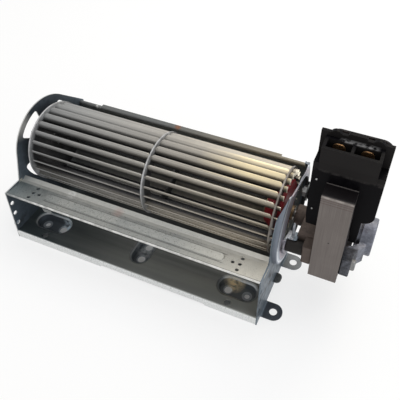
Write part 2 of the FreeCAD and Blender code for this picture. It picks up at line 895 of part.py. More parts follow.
save("left_bearing_grommet", left_bearing_grommet())
save("left_bearing_bush", left_bearing_bush())
save("left_bearing_clip", left_bearing_clip())


# Motor stator
def shading_legs(turn, grow=0.0):
    """The two legs of a loop, as (y, z, half width) of square bars along X."""
    h = shading_wire / 2 + grow
    a = turn + shading_angle
    y0, z0 = polar(bore_r + shading_wire / 2 + 0.6, a)
    y1, z1 = polar(shading_r_out, a - shading_span)
    return [(y0, z0, h), (y1, z1, h)]


def stack_profile():
    w, v, s = stack_half_w, window_half_w, bar_half_len
    return [
        (-w, stack_low_z), (w, stack_low_z), (w, stack_top_z), (s, stack_top_z),
        (s, bar_low_z), (v, bar_low_z), (v, window_low_z),
        (-v, window_low_z), (-v, bar_low_z), (-s, bar_low_z),
        (-s, stack_top_z), (-w, stack_top_z),
    ]


def stator_stack():
    shape = slab_x(stack_profile(), stack_x, stack_x2)
    shape = rounded(shape, stack_corner_r, lambda m, d: abs(d.x) > 0.9
                    and abs(abs(m.y) - stack_half_w) < 0.01)
    cuts = [rod(bore_r, stack_x, stack_x2)]
    for side in (-1, 1):
        cuts.append(rod(screw_r + screw_play, stack_x, stack_x2, side * foot_y, screw_z))
    for turn in (0, 180):
        for y, z, h in shading_legs(turn, shading_play):
            cuts.append(box(stack_x, stack_x2, y - h, y + h, z - h, z + h))
    return shape.cut(Part.makeCompound(cuts)).Solids[0]


def shading_ring(turn):
    """A closed copper loop: two legs through the stack and a bar at each face."""
    (ya, za, h), (yb, zb, _) = shading_legs(turn)
    over = shading_wire * 0.8
    x0, x1 = stack_x - over, stack_x2 + over
    loop = box(x0, x1, ya - h, ya + h, za - h, za + h).fuse(
        box(x0, x1, yb - h, yb + h, zb - h, zb + h))
    span = hypot(yb - ya, zb - za)
    angle = degrees(atan2(zb - za, yb - ya))
    for x in (stack_x - over, stack_x2 + 0.05):
        bar = box(x, x + over - 0.05, 0, span, -h, h)
        bar.rotate(ORIGIN, X_AXIS, angle)
        bar.translate(V(0, ya, za))
        loop = loop.fuse(bar)
    return loop.removeSplitter().Solids[0]


def core_bar():
    """The bar that closes the frame and carries the coil."""
    return box(stack_x, stack_x2, -bar_half_len, bar_half_len, bar_low_z, stack_top_z)


save("stator_stack", stator_stack())
save("core_bar", core_bar())
save_group("shading_rings", [shading_ring(0), shading_ring(180)])


# Coil and terminal housing
bobbin_y = window_half_w - bobbin_play
tube_x0 = stack_x - bobbin_play - bobbin_wall
tube_x1 = stack_x2 + bobbin_play + bobbin_wall
tube_z0 = bar_low_z - bobbin_play - bobbin_wall
tube_z1 = stack_top_z + bobbin_play + bobbin_wall


def front_flange():
    """The end flange under the terminals, with its two lower corners rounded."""
    flange = box(flange_x_left, flange_x_right, -bobbin_y, bobbin_flange_t - bobbin_y,
                 bobbin_low_z, bobbin_deck_z)
    return rounded(flange, bobbin_corner_r, lambda m, d: abs(d.y) > 0.9 and m.z < bobbin_low_z + 1)


def rear_flange():
    """The far end flange, lower than the front one and rounded at every corner."""
    flange = box(flange_x_left, flange_x_right, bobbin_y - bobbin_flange_t, bobbin_y,
                 bar_mid_z - rear_flange_half_h, bar_mid_z + rear_flange_half_h)
    return rounded(flange, bobbin_corner_r, lambda m, d: abs(d.y) > 0.9)


def terminal_housing():
    """Open-topped box with two compartments, in front of a taller back plate."""
    shape = box(box_x_left, box_x_right, box_front_y, box_rear_y, box_front_low_z, box_top_z)
    shape = shape.fuse(box(box_x_left, box_x_right, ledge_y, box_rear_y, bobbin_deck_z - deck_t, box_top_z))
    ledge = box(box_x_left, box_x_right, ledge_y, bobbin_flange_t - bobbin_y, ledge_low_z, box_front_low_z)
    ledge = rounded(ledge, ledge_step_h, lambda m, d: abs(d.y) > 0.9 and m.z < ledge_low_z + 1)
    shape = shape.fuse(ledge)
    mid = (box_x_left + box_x_right) / 2
    z0 = box_low_z + box_floor
    for x0, x1 in ((box_x_left + box_wall, mid - box_wall / 2), (mid + box_wall / 2, box_x_right - box_wall)):
        shape = shape.cut(box(x0, x1, box_front_y + box_wall, pocket_rear_y, z0, box_top_z + 1))
    y1 = box_rear_y + back_t
    back = box(flange_x_left, flange_x_right, box_rear_y, y1, bobbin_deck_z - 1, back_top_z)
    mid_back = (flange_x_left + flange_x_right) / 2
    for side in (-1, 1):
        x = mid_back + side * bump_offset
        z = back_top_z + bump_h - bump_r
        back = back.fuse(Part.makeCylinder(bump_r, back_t, V(x, box_rear_y, z), V(0, 1, 0)))
    crown = box(mid_back - crown_w / 2, mid_back + crown_w / 2, box_rear_y, y1,
                back_top_z - 1, back_top_z + bump_h)
    crown = rounded(crown, bump_h * 0.8, lambda m, d: abs(d.y) > 0.9 and m.z > back_top_z)
    return shape.fuse(back).fuse(crown)


def coil_bobbin():
    shape = box(tube_x0, tube_x1, -bobbin_y, bobbin_y, tube_z0, tube_z1)
    shape = shape.fuse(front_flange()).fuse(rear_flange())
    deck = box(flange_x_left, flange_x_right, -bobbin_y, box_rear_y + back_t,
               bobbin_deck_z - deck_t, bobbin_deck_z)
    shape = shape.fuse(deck).fuse(terminal_housing())
    p = bobbin_play
    shape = shape.cut(box(stack_x - p, stack_x2 + p, -stack_half_w, stack_half_w,
                          bar_low_z - p, stack_top_z + p))
    return shape.cut(terminal_pockets()).removeSplitter().Solids[0]


def terminal_spots():
    mid = (box_x_left + box_x_right) / 2
    step = (box_x_right - box_x_left) / 4
    y = pocket_rear_y - terminal_rear_gap - terminal_t / 2
    return [(mid - step + 0.2, y), (mid + step - 0.2, y)]


def terminal_blade(x, y, grow=0.0):
    """A flat tab that stands in a compartment and is rooted in its floor."""
    z0 = box_low_z + box_floor - terminal_root
    z1 = box_top_z - terminal_top
    return box(x - terminal_w / 2 - grow, x + terminal_w / 2 + grow,
               y - terminal_t / 2 - grow, y + terminal_t / 2 + grow, z0 - grow, z1 + grow)


def terminal_pockets():
    return Part.makeCompound([terminal_blade(x, y, 0.01) for x, y in terminal_spots()])


def coil_winding():
    """Wound copper between the flanges, round the bobbin's tube."""
    y = bobbin_y - bobbin_flange_t - 0.1
    x0, x1 = flange_x_left + coil_inset, flange_x_right - coil_inset
    z0, z1 = bar_mid_z - coil_half_h, bar_mid_z + coil_half_h
    body = box(x0, x1, -y, y, z0, z1)
    body = rounded(body, coil_corner_r, lambda m, d: abs(d.y) > 0.9)
    return body.cut(box(tube_x0, tube_x1, -y, y, tube_z0, tube_z1))


def terminal_tab(x, y):
    tab = terminal_blade(x, y)
    tab = rounded(tab, terminal_corner_r, lambda m, d: abs(d.y) > 0.9 and m.z > box_low_z + box_floor)
    return tab


save("coil_bobbin", coil_bobbin())
save("coil_winding", coil_winding())
save_group("terminal_tabs", [terminal_tab(x, y) for x, y in terminal_spots()])


# Motor brackets
def bracket_outline(x):
    """Section of the bridge, as (x, y) points out from the stack's face at x."""
    half = [
        (0.0, foot_outer_y), (foot_t, foot_outer_y), (foot_t, foot_inner_y + 1.5),
        (bridge_t, bridge_half_w),
    ]
    hollow = [(cavity_t, cavity_half_w - 2.5), (cavity_t - 2.5, cavity_half_w), (0.0, foot_inner_y)]
    side = [(x + u, -y) for u, y in half]
    side += [(x + u, y) for u, y in reversed(half)]
    side += [(x + u, y) for u, y in reversed(hollow)]
    side += [(x + u, -y) for u, y in hollow]
    return side


def bracket_bore(x, out, bore_r):
    """The bore through a boss, with the ball seat and the felt's recess."""
    ball_x = x + out - bush_depth
    half = sqrt(bush_ball_r ** 2 - seat_bore_r ** 2)
    recess_x = x + out - felt_t - clip_t
    end_x = x + out + 1
    outline = [V(x, 0, 0), V(x, 0, seat_bore_r), V(ball_x - half, 0, seat_bore_r)]
    after = [V(ball_x + half, 0, seat_bore_r), V(recess_x, 0, seat_bore_r), V(recess_x, 0, bore_r),
             V(end_x, 0, bore_r), V(end_x, 0, 0), V(x, 0, 0)]
    edges = [Part.makeLine(a, b) for a, b in zip(outline, outline[1:])]
    edges.append(Part.Arc(outline[-1], V(ball_x, 0, bush_ball_r), after[0]).toShape())
    edges += [Part.makeLine(a, b) for a, b in zip(after, after[1:])]
    return Part.Face(Part.Wire(edges)).revolve(ORIGIN, X_AXIS, 360)


def bearing_bracket(out, r, bore_r, inner_r=0.0):
    """Die-cast bridge with two feet, drawn on the right face of the stack.

    The boss stands out by `out` with a radius r, and a felt sits in its bore.
    An inner boss of radius inner_r reaches back towards the rotor.
    """
    x = stack_x2
    z0, z1 = bracket_z - bracket_half_h, bracket_z + bracket_half_h
    points = [V(px, py, z0) for px, py in bracket_outline(x)]
    shape = Part.Face(Part.makePolygon(points + points[:1])).extrude(V(0, 0, z1 - z0))
    shape = rounded(shape, 1.0, lambda m, d: abs(d.z) > 0.9 and abs(m.y) > foot_outer_y - 0.1)
    boss = rod(r, x + cavity_t, x + out)
    boss = boss.makeFillet(1.0, [e for e in boss.Edges if isinstance(e.Curve, Part.Circle)
                                 and e.Vertexes[0].X > x + out - 0.01])
    shape = shape.fuse(boss)
    if inner_r:
        shape = shape.fuse(rod(inner_r, x + boss_in, x + cavity_t + 1))
    shape = shape.cut(bracket_bore(x, out, bore_r))
    for side in (-1, 1):
        shape = shape.cut(rod(screw_r + screw_play, x - 1, x + foot_t + 1, side * foot_y, screw_z))
    return shape.removeSplitter().Solids[0]


def motor_bush(out):
    """Ball-shaped sintered bush, drawn in a boss on the right face."""
    x = stack_x2 + out - bush_depth
    half = bush_len / 2
    end_r = sqrt(bush_ball_r ** 2 - half ** 2)
    in_r = shaft_r + bearing_play
    corners = [V(x - half, 0, end_r), V(x - half, 0, in_r), V(x + half, 0, in_r), V(x + half, 0, end_r)]
    edges = [Part.makeLine(a, b) for a, b in zip(corners, corners[1:])]
    edges.append(Part.Arc(corners[-1], V(x, 0, bush_ball_r), corners[0]).toShape())
    return Part.Face(Part.Wire(edges)).revolve(ORIGIN, X_AXIS, 360)


def bearing_felt(out, bore_r):
    """Oil felt in the boss, outside the spring retainer."""
    x = stack_x2 + out - felt_t
    return ring(shaft_r + 0.5, bore_r, x, x + felt_t - 0.3)


def bearing_clip(out, bore_r):
    """Spring retainer between the bush and the felt."""
    x = stack_x2 + out - felt_t - clip_t
    return ring(shaft_r + 1.0, bore_r, x, x + clip_t)


def to_left(shape):
    """A piece drawn on the right face, turned round to the left face."""
    other = shape.copy()
    other.rotate(V((stack_x + stack_x2) / 2, 0, 0), V(0, 0, 1), 180)
    return other


left_boss = (left_boss_out, left_boss_bore_r)
right_boss = (boss_out, boss_bore_r)
save("left_bearing_bracket", to_left(bearing_bracket(left_boss_out, left_boss_r, left_boss_bore_r)))
save("right_bearing_bracket", bearing_bracket(boss_out, boss_r, boss_bore_r, boss_in_r))
save_group("motor_bearings", [to_left(motor_bush(left_boss_out)), motor_bush(boss_out)])
save_group("bearing_felts", [to_left(bearing_felt(*left_boss)), bearing_felt(*right_boss)])
save_group("bearing_clips", [to_left(bearing_clip(*left_boss)), bearing_clip(*right_boss)])


# Screws, nuts and spacers
def motor_screw(side):
    """Long screw with a round head on the right bracket's foot."""
    y = side * foot_y
    head_x = stack_x2 + foot_t
    end_x = lug_face_x - sheet_t - nut_t - 0.8
    head = rod(screw_head_r, head_x, head_x + screw_head_t, y, screw_z)
    head = head.makeFillet(1.2, [e for e in head.Edges if isinstance(e.Curve, Part.Circle)
                                 and e.Vertexes[0].X > head_x + 1])
    recess = box(head_x + screw_head_t - 1.2, head_x + screw_head_t + 1, y - 0.5, y + 0.5,
                 screw_z - 2.2, screw_z + 2.2)
    cross = recess.fuse(box(head_x + screw_head_t - 1.2, head_x + screw_head_t + 1,
                            y - 2.2, y + 2.2, screw_z - 0.5, screw_z + 0.5))
    return head.cut(cross).fuse(rod(screw_r, end_x, head_x, y, screw_z)).removeSplitter()


def motor_nut(side):
    """Hexagon nut behind the plate's lug."""
    y = side * foot_y
    x1 = lug_face_x - sheet_t
    points = []
    for i in range(6):
        dy, dz = polar(nut_corner_r, 60 * i + 30)
        points.append((y + dy, screw_z + dz))
    return slab_x(points, x1 - nut_t, x1).cut(rod(screw_r, x1 - nut_t, x1, y, screw_z))


def motor_spacer(side):
    """Black rubber spacer between the lug and the left bracket's foot."""
    y = side * foot_y
    x0, x1 = lug_face_x, stack_x - foot_t
    spacer = rod(spacer_r, x0, x1, y, screw_z)
    spacer = spacer.makeFillet(0.6, [e for e in spacer.Edges if isinstance(e.Curve, Part.Circle)])
    return spacer.cut(rod(screw_r + screw_play, x0, x1, y, screw_z))


save_group("motor_screws", [motor_screw(side) for side in (-1, 1)])
save_group("motor_nuts", [motor_nut(side) for side in (-1, 1)])
save_group("motor_spacers", [motor_spacer(side) for side in (-1, 1)])
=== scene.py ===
# %% [markdown]
# # A cross flow fan, dressed
# The fan is a folded sheet housing, a long bladed impeller and a small motor
# on the right end. Its shapes come ready made as the frame. This lesson gives
# every surface its finish: galvanised sheet with spangle and marks, taupe
# blades, a red silicone coupling, a laminated stator, rough castings and black
# mouldings. At the end come the floor, the lamps and the camera.

import json
import math

import bpy
from mathutils import Matrix, Vector


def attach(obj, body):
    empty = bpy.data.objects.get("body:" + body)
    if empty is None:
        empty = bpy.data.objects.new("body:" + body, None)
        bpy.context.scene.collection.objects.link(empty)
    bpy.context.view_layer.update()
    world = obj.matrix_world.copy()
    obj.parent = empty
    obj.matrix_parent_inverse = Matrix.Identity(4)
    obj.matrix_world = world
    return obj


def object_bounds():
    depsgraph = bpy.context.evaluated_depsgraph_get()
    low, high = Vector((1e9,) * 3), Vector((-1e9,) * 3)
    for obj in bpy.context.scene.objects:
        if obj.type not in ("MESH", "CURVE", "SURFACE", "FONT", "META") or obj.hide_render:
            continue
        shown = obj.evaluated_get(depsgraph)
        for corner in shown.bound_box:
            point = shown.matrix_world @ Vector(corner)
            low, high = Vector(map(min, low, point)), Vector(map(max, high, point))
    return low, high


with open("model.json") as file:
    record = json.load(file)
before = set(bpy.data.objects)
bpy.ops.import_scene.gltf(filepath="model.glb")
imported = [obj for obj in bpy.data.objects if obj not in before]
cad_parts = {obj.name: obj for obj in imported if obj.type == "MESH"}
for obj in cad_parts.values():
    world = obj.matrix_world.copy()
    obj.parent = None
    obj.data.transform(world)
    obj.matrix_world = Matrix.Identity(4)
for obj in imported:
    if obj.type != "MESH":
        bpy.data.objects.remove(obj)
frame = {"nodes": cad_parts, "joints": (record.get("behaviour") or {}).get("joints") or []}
nodes = frame["nodes"]
cad_box = [list(corner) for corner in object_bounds()]
MM = 0.001
IMPELLER = Vector(frame["joints"][0]["pos_m"])
print("nodes", len(nodes), "impeller's middle", tuple(IMPELLER))

# %% [markdown]
# ## Tools for finishes
# A finish is a node tree on Object coordinates, counted from the middle of the
# impeller, so a spot can be placed by its real position in millimetres. One
# metre on the object is one unit of the pattern. These helpers keep each
# finish short. A mask is a value from 0 to 1 that says where a mark lies, and
# most finishes are one skin with several masks mixed over it, one by one. The
# marks could be painted on an image too, but nodes need no file and no UV map,
# and stay sharp close up.


# %% Helpers for finishes
FINISHES = {}


class Finish:
    """A material under construction: its tree, its shader and its position."""

    def __init__(self, name, metallic=0.0, roughness=0.5, specular=0.5):
        self.material = bpy.data.materials.new(name)
        self.material.use_nodes = True
        FINISHES[name] = self.material
        self.tree = self.material.node_tree
        self.shader = self.tree.nodes["Principled BSDF"]
        self.shader.inputs["Metallic"].default_value = metallic
        self.shader.inputs["Roughness"].default_value = roughness
        self.shader.inputs["Specular IOR Level"].default_value = specular
        from_impeller = self.add("ShaderNodeVectorMath", operation="SUBTRACT")
        self.feed(from_impeller.inputs[0], self.add("ShaderNodeTexCoord").outputs["Object"])
        from_impeller.inputs[1].default_value = IMPELLER
        self.place = from_impeller.outputs["Vector"]

    def add(self, kind, **settings):
        node = self.tree.nodes.new(kind)
        for key, value in settings.items():
            setattr(node, key, value)
        return node

    def feed(self, socket, value):
        """A socket takes another node's output, or a plain value."""
        if isinstance(value, bpy.types.NodeSocket):
            self.tree.links.new(value, socket)
        elif isinstance(value, (tuple, list)) and len(value) == 3 and socket.type == "RGBA":
            socket.default_value = (*value, 1.0)
        else:
            socket.default_value = value

    def stretched(self, x, y, z):
        """Object coordinates, scaled differently along each axis."""
        mapping = self.add("ShaderNodeMapping")
        self.feed(mapping.inputs["Vector"], self.place)
        mapping.inputs["Scale"].default_value = (x, y, z)
        return mapping.outputs["Vector"]

    def noise(self, scale, detail=2.0, rough=0.5, where=None):
        """A cloudy value; where is a pattern place, if it isn't the plain position."""
        node = self.add("ShaderNodeTexNoise")
        self.feed(node.inputs["Vector"], where or self.place)
        node.inputs["Scale"].default_value = scale
        node.inputs["Detail"].default_value = detail
        node.inputs["Roughness"].default_value = rough
        return node.outputs["Fac"]

    def patches(self, scale, detail, low, high, least=0.0, most=1.0, rough=0.5):
        """Irregular patches: a noise that rises from least to most between low and high."""
        return self.range(self.noise(scale, detail, rough), low, high, least, most)

    def cells(self, scale):
        """Flat cells with one random colour each, as zinc crystals have."""
        node = self.add("ShaderNodeTexVoronoi")
        self.feed(node.inputs["Vector"], self.place)
        node.inputs["Scale"].default_value = scale
        return node.outputs["Color"]

    def ramp(self, value, *stops):
        """A value from 0 to 1 turned into colours: stops are (position, colour or grey)."""
        node = self.add("ShaderNodeValToRGB")
        self.feed(node.inputs["Fac"], value)
        elements = node.color_ramp.elements
        while len(elements) < len(stops):
            elements.new(0.5)
        for element, (position, colour) in zip(elements, stops):
            element.position = position
            rgb = colour if isinstance(colour, (tuple, list)) else (colour,) * 3
            element.color = (*rgb, 1.0)
        return node.outputs["Color"]

    def mix(self, share, a, b, blend="MIX"):
        """Colour b laid over colour a, as far as the share or mask says."""
        node = self.add("ShaderNodeMix", data_type="RGBA", blend_type=blend)
        self.feed(node.inputs["Factor"], share)
        self.feed(node.inputs[6], a)
        self.feed(node.inputs[7], b)
        return node.outputs[2]

    def reckon(self, operation, a, b=0.0):
        """One step of arithmetic, such as MULTIPLY or MAXIMUM."""
        node = self.add("ShaderNodeMath", operation=operation)
        self.feed(node.inputs[0], a)
        self.feed(node.inputs[1], b)
        return node.outputs[0]

    def range(self, value, low, high, to_low=0.0, to_high=1.0):
        """A value moved from one range to another, held within it."""
        node = self.add("ShaderNodeMapRange")
        self.feed(node.inputs["Value"], value)
        limits = {"From Min": low, "From Max": high, "To Min": to_low, "To Max": to_high}
        for socket, number in limits.items():
            node.inputs[socket].default_value = number
        return node.outputs["Result"]

    def radius(self):
        """The distance from the shaft, in metres."""
        node = self.add("ShaderNodeVectorMath", operation="LENGTH")
        self.feed(node.inputs[0], self.stretched(0.0, 1.0, 1.0))
        return node.outputs["Value"]

    def rings(self, fineness):
        """A pattern place that hardly changes round the shaft, but does across it."""
        place = self.add("ShaderNodeCombineXYZ")
        turn = self.reckon("ARCTAN2", self.axis("Z"), self.axis("Y"))
        for socket, value in zip(place.inputs, (self.radius(), self.axis("X"), turn)):
            self.feed(socket, value)
        grid = self.add("ShaderNodeMapping")
        self.feed(grid.inputs["Vector"], place.outputs["Vector"])
        grid.inputs["Scale"].default_value = (fineness, fineness, 1.0)
        return grid.outputs["Vector"]

    def axis(self, letter):
        """One coordinate of the position, in metres."""
        split = self.add("ShaderNodeSeparateXYZ")
        self.feed(split.inputs[0], self.place)
        return split.outputs[letter]

    def facing(self, letter):
        """One part of the surface's normal, from -1 to 1."""
        coordinates = self.add("ShaderNodeTexCoord")
        split = self.add("ShaderNodeSeparateXYZ")
        self.feed(split.inputs[0], coordinates.outputs["Normal"])
        return split.outputs[letter]

    def band(self, letter, low, high, soft=0.5):
        """1 where a coordinate lies between two values in millimetres, else 0."""
        along = self.axis(letter)
        rise = self.range(along, (low - soft) * MM, low * MM)
        fall = self.range(along, (high + soft) * MM, high * MM)
        return self.both(rise, fall)

    def both(self, a, b):
        """1 only where two masks are both 1."""
        return self.reckon("MULTIPLY", a, b)

    def faint(self, mask, share):
        """The same mask, but weaker."""
        return self.reckon("MULTIPLY", mask, share)

    def spot(self, x, y, z, radius, soft=0.5):
        """1 near a point given in millimetres, 0 away from it."""
        distance = self.add("ShaderNodeVectorMath", operation="DISTANCE")
        self.feed(distance.inputs[0], self.place)
        distance.inputs[1].default_value = (x * MM, y * MM, z * MM)
        return self.range(distance.outputs["Value"], radius * MM, radius * soft * MM)

    def colour(self, value):
        self.feed(self.shader.inputs["Base Color"], value)

    def roughness(self, value):
        self.feed(self.shader.inputs["Roughness"], value)

    def bump(self, height, strength, depth):
        """Raise the surface by a pattern; depth is in millimetres."""
        node = self.add("ShaderNodeBump")
        node.inputs["Strength"].default_value = strength
        node.inputs["Distance"].default_value = depth * MM
        self.feed(node.inputs["Height"], height)
        if self.shader.inputs["Normal"].is_linked:
            self.feed(node.inputs["Normal"], self.shader.inputs["Normal"].links[0].from_socket)
        self.feed(self.shader.inputs["Normal"], node.outputs["Normal"])


def dress(finish, *names):
    """Give a finish to some nodes of the frame."""
    for name in names:
        node = nodes[name]
        node.data.materials.clear()
        node.data.materials.append(finish.material)
    print(finish.material.name, "on", len(names), "nodes")


# %% [markdown]
# ## Galvanised sheet
# Zinc freezes on steel in flat crystals, each a slightly different grey. A
# Voronoi pattern with one random colour per cell gives that spangle, a very
# fine noise gives the grains of dirt, and a large slow noise the cloudy film
# that an old sheet has. The three kinds of sheet differ in their greys and in
# how many grains they show, so one function makes the skin of all of them.


# %% The zinc skin
DIRT_TONE = 0.3     # grains of dirt are this share of the sheet's darker grey


def galvanised(name, pale, dark, grains, metallic=0.6, roughness=0.45, waves=0.25):
    """The sheet's skin: returns the finish and its colour, for marks to go on."""
    f = Finish(name, metallic, roughness)
    crystal = f.ramp(f.cells(420.0), (0.2, dark), (0.8, pale))
    cloud = f.ramp(f.noise(26.0, 4.0, 0.6), (0.3, dark), (0.7, pale))
    base = f.mix(0.3, cloud, crystal)
    grain = f.patches(1300.0, 2.0, 0.33, 0.40, grains, 0.0, 0.6)
    base = f.mix(grain, base, tuple(DIRT_TONE * part for part in dark))
    f.roughness(f.patches(300.0, 4.0, 0.3, 0.7, roughness - 0.08, roughness + 0.12))
    f.bump(f.noise(900.0, 3.0), 0.15, 0.04)
    f.bump(f.noise(45.0, 2.0), 0.3, waves)
    return f, base


# %% [markdown]
# ## The housing
# The duct's floor is smooth and streaked along its length, and painted dark as
# painted shade under the strip and painted reflection of the dark inside. It is
# painted paler to the front, where less shade falls, and darker and bluer to the
# left, where more shade falls. The turned-down lip looks pale. The walls of the
# sunk pads carry painted highlights, a thin painted highlight runs along the
# pads' upper edges, and a lighter ring of painted reflection lies round each
# hole. The rear flange is painted dark as painted shade on its outer side, and
# brown towards the motor, with one spot of rust and one bright scuff. Which of
# the bright places are rubbed metal and which are reflections can't be told from
# one picture: here all of them are painted. The sheet is one mesh. It could be
# split, with a material for each part, but masks in one material fade into each
# other with no hard border.


# %% Colours and places on the housing
HOUSING_PALE, HOUSING_DARK = (0.24, 0.245, 0.235), (0.15, 0.16, 0.16)
DUCT_SHADE_STREAKS = ((0.35, (0.085, 0.093, 0.095)), (0.52, (0.16, 0.168, 0.168)),
                (0.68, (0.32, 0.325, 0.31)))
FRONT_PAINTED_LIGHT, LEFT_SHADE_BLUE = (0.42, 0.43, 0.405), (0.050, 0.068, 0.074)
PAD_GREY, HOLE_RING_REFLECTION, PAD_RIM_HIGHLIGHT = (0.10, 0.115, 0.135), (0.34, 0.37, 0.40), (0.42, 0.44, 0.45)
LIP_PALE, SCUFF_PALE = (0.80, 0.81, 0.80), (0.7, 0.7, 0.68)
FLANGE_SHADE, FLANGE_BROWN = (0.080, 0.082, 0.082), (0.20, 0.17, 0.12)
RUST = (0.22, 0.08, 0.03)
PAD_HOLES = ((-83.8, -40.0), (-69.8, -40.0), (-1.3, -40.7), (-1.3, -29.5), (67.2, -40.0),
             (81.2, -40.0))
PAD_WALL_HIGHLIGHTS = ((-66.0, -36.5, (0.80, 0.92, 1.0)), (-1.3, -32.0, (0.50, 0.53, 0.55)),
                (70.0, -34.0, (0.80, 0.66, 0.42)))
DUCT_HEIGHT, PAD_HEIGHT = (-60.0, -38.0), (-54.0, -46.75)
RIM_HEIGHT, FLANGE_HEIGHT = (-47.7, -46.9), (6.2, 9.0)
PAD_FLOOR, PAD_WALL = -52.0, -48.5


# %% Housing finish
def housing_finish():
    f, base = galvanised("housing_zinc", HOUSING_PALE, HOUSING_DARK, 0.3, waves=0.06)
    # Painted shade and painted reflection: the duct's floor is dark and streaked, painted paler
    # to the front and darker and bluer to the left.
    duct = f.band("Z", *DUCT_HEIGHT, 6.0)
    streak = f.noise(1.0, 4.0, 0.55, f.stretched(3.0, 70.0, 70.0))
    base = f.mix(duct, base, f.ramp(streak, *DUCT_SHADE_STREAKS))
    front = f.both(f.band("Y", -57.0, -45.0, 14.0), f.band("X", -20.0, 90.0, 50.0))
    base = f.mix(f.both(duct, f.faint(front, 0.6)), base, FRONT_PAINTED_LIGHT)
    left = f.range(f.axis("X"), 0.0, -0.080, 0.0, 0.8)
    base = f.mix(f.both(duct, left), base, LEFT_SHADE_BLUE)

    pad = f.band("Z", *PAD_HEIGHT, 0.2)
    base = f.mix(f.faint(pad, 0.8), base, PAD_GREY)
    # Painted reflection: a lighter ring round each pad hole.
    for x, y in PAD_HOLES:
        base = f.mix(f.spot(x, y, PAD_FLOOR, 3.7, 0.92), base, HOLE_RING_REFLECTION)
    # Painted highlights on the pad walls; bare collects them.
    bare = 0.0
    for x, y, tint in PAD_WALL_HIGHLIGHTS:
        wall = f.both(pad, f.spot(x, y, PAD_WALL, 8.5, 0.45))
        wall_highlight = f.both(wall, f.patches(300.0, 3.0, 0.3, 0.55))
        bare = f.reckon("MAXIMUM", wall_highlight, bare)
        base = f.mix(wall_highlight, base, tint)
    # Painted highlight along the pads' upper edges.
    rim = f.both(f.band("Z", *RIM_HEIGHT, 0.2), f.band("Y", -50.0, -25.0))
    base = f.mix(f.faint(rim, 0.7), base, PAD_RIM_HIGHLIGHT)

    specks = f.patches(1300.0, 3.0, 0.36, 0.5, 0.55, 1.0, 0.7)
    base = f.mix(f.both(f.band("Y", -58.0, -56.4, 0.5), specks), base, LIP_PALE)
    # Painted shade on the rear flange's outer side.
    flange = f.band("Z", *FLANGE_HEIGHT)
    base = f.mix(f.faint(flange, 0.7), base, FLANGE_SHADE)
    brown = f.both(f.range(f.axis("X"), -0.020, 0.060), flange)
    base = f.mix(f.faint(brown, 0.75), base, FLANGE_BROWN)
    rust = f.both(f.spot(-9.0, 41.2, 7.8, 3.2), f.patches(900.0, 4.0, 0.35, 0.6))
    base = f.mix(rust, base, RUST)
    scuff = f.both(f.spot(-78.9, 39.9, 7.8, 3.0), f.patches(600.0, 3.0, 0.4, 0.6))
    f.colour(f.mix(scuff, base, SCUFF_PALE))

    worn = f.patches(300.0, 4.0, 0.3, 0.7, 0.38, 0.55)
    f.roughness(f.mix(duct, worn, f.range(streak, 0.3, 0.8, 0.34, 0.44)))
    # Where the pad walls carry painted highlights the metal is turned down, so that they read
    # brighter.
    f.feed(f.shader.inputs["Metallic"], f.range(bare, 0.0, 1.0, 0.6, 0.05))
    return f


dress(housing_finish(), "scroll_housing")

# %% [markdown]
# ## The strip
# The strip over the outlet is paler than the housing. A thin painted highlight
# runs along the fold of its front edge, with painted shade in the crease behind
# it. The rear edge is brighter, the left end painted darker and bluer as painted
# shade and reflection, and the right end paler. A fine line of painted shade
# lies along each foot of the rib, one bump is worn, and a faint stain lies near
# the middle. The strip lies straight along the X axis, so a band between two
# values of one coordinate does for most marks, and no UV map is needed.


# %% Colours on the strip
STRIP_PALE, STRIP_DARK = (0.38, 0.38, 0.355), (0.27, 0.28, 0.27)
STRIP_LEFT_SHADE, STRIP_RIGHT = (0.36, 0.42, 0.455), (0.68, 0.64, 0.55)
STRIP_FRONT, STRIP_REAR = (0.24, 0.25, 0.24), (0.60, 0.59, 0.55)
RIB_FOOT_SHADE, CREASE_SHADE, FOLD_HIGHLIGHT = (0.07, 0.07, 0.07), (0.10, 0.10, 0.10), (0.78, 0.78, 0.76)
WORN_BUMP, STAIN = (0.66, 0.66, 0.64), (0.45, 0.24, 0.20)
RIB_FEET = ((-48.0, 0.65), (-40.6, 0.85))     # each foot's place and how dark it is


# %% Strip finish
def strip_finish():
    f, base = galvanised("strip_zinc", STRIP_PALE, STRIP_DARK, 0.85, metallic=0.5,
                         roughness=0.5)
    # Painted shade and reflection: the left end of the strip darker and bluer.
    base = f.mix(f.range(f.axis("X"), -0.055, -0.092), base, STRIP_LEFT_SHADE, "MULTIPLY")
    base = f.mix(f.range(f.axis("X"), 0.030, 0.080, 0.0, 0.5), base, STRIP_RIGHT)
    front = f.both(f.band("X", -70.0, 60.0, 20.0), f.band("Y", -52.0, -47.5, 1.5))
    base = f.mix(f.faint(front, 0.25), base, STRIP_FRONT)
    # Painted shade along each foot of the rib.
    along_rib = f.band("X", -68.0, 66.0, 2.0)
    for y, share in RIB_FEET:
        foot = f.both(along_rib, f.band("Y", y - 0.2, y + 0.2, 0.3))
        base = f.mix(f.faint(foot, share), base, RIB_FOOT_SHADE)
    base = f.mix(f.faint(f.band("Y", -37.6, -32.0, 0.6), 0.5), base, STRIP_REAR)
    # Painted shade in the crease behind the fold.
    base = f.mix(f.faint(f.band("Y", -52.15, -51.85, 0.15), 0.7), base, CREASE_SHADE)
    # Painted highlight along the fold of the front edge.
    fold = f.both(f.band("Y", -53.2, -52.4, 0.15), f.patches(240.0, 4.0, 0.35, 0.6, 0.4))
    fold = f.both(fold, f.range(f.axis("X"), -0.094, -0.070, 0.35, 1.0))
    base = f.mix(fold, base, FOLD_HIGHLIGHT)
    worn = f.patches(700.0, 4.0, 0.4, 0.6, 0.0, 0.8)
    base = f.mix(f.both(f.spot(-54.5, -35.6, -10.5, 4.0, 0.5), worn), base, WORN_BUMP)
    stain = f.faint(f.spot(-15.8, -36.8, -10.5, 5.0, 0.2), 0.35)
    f.colour(f.mix(stain, base, STAIN))
    return f


dress(strip_finish(), "stabiliser_strip")
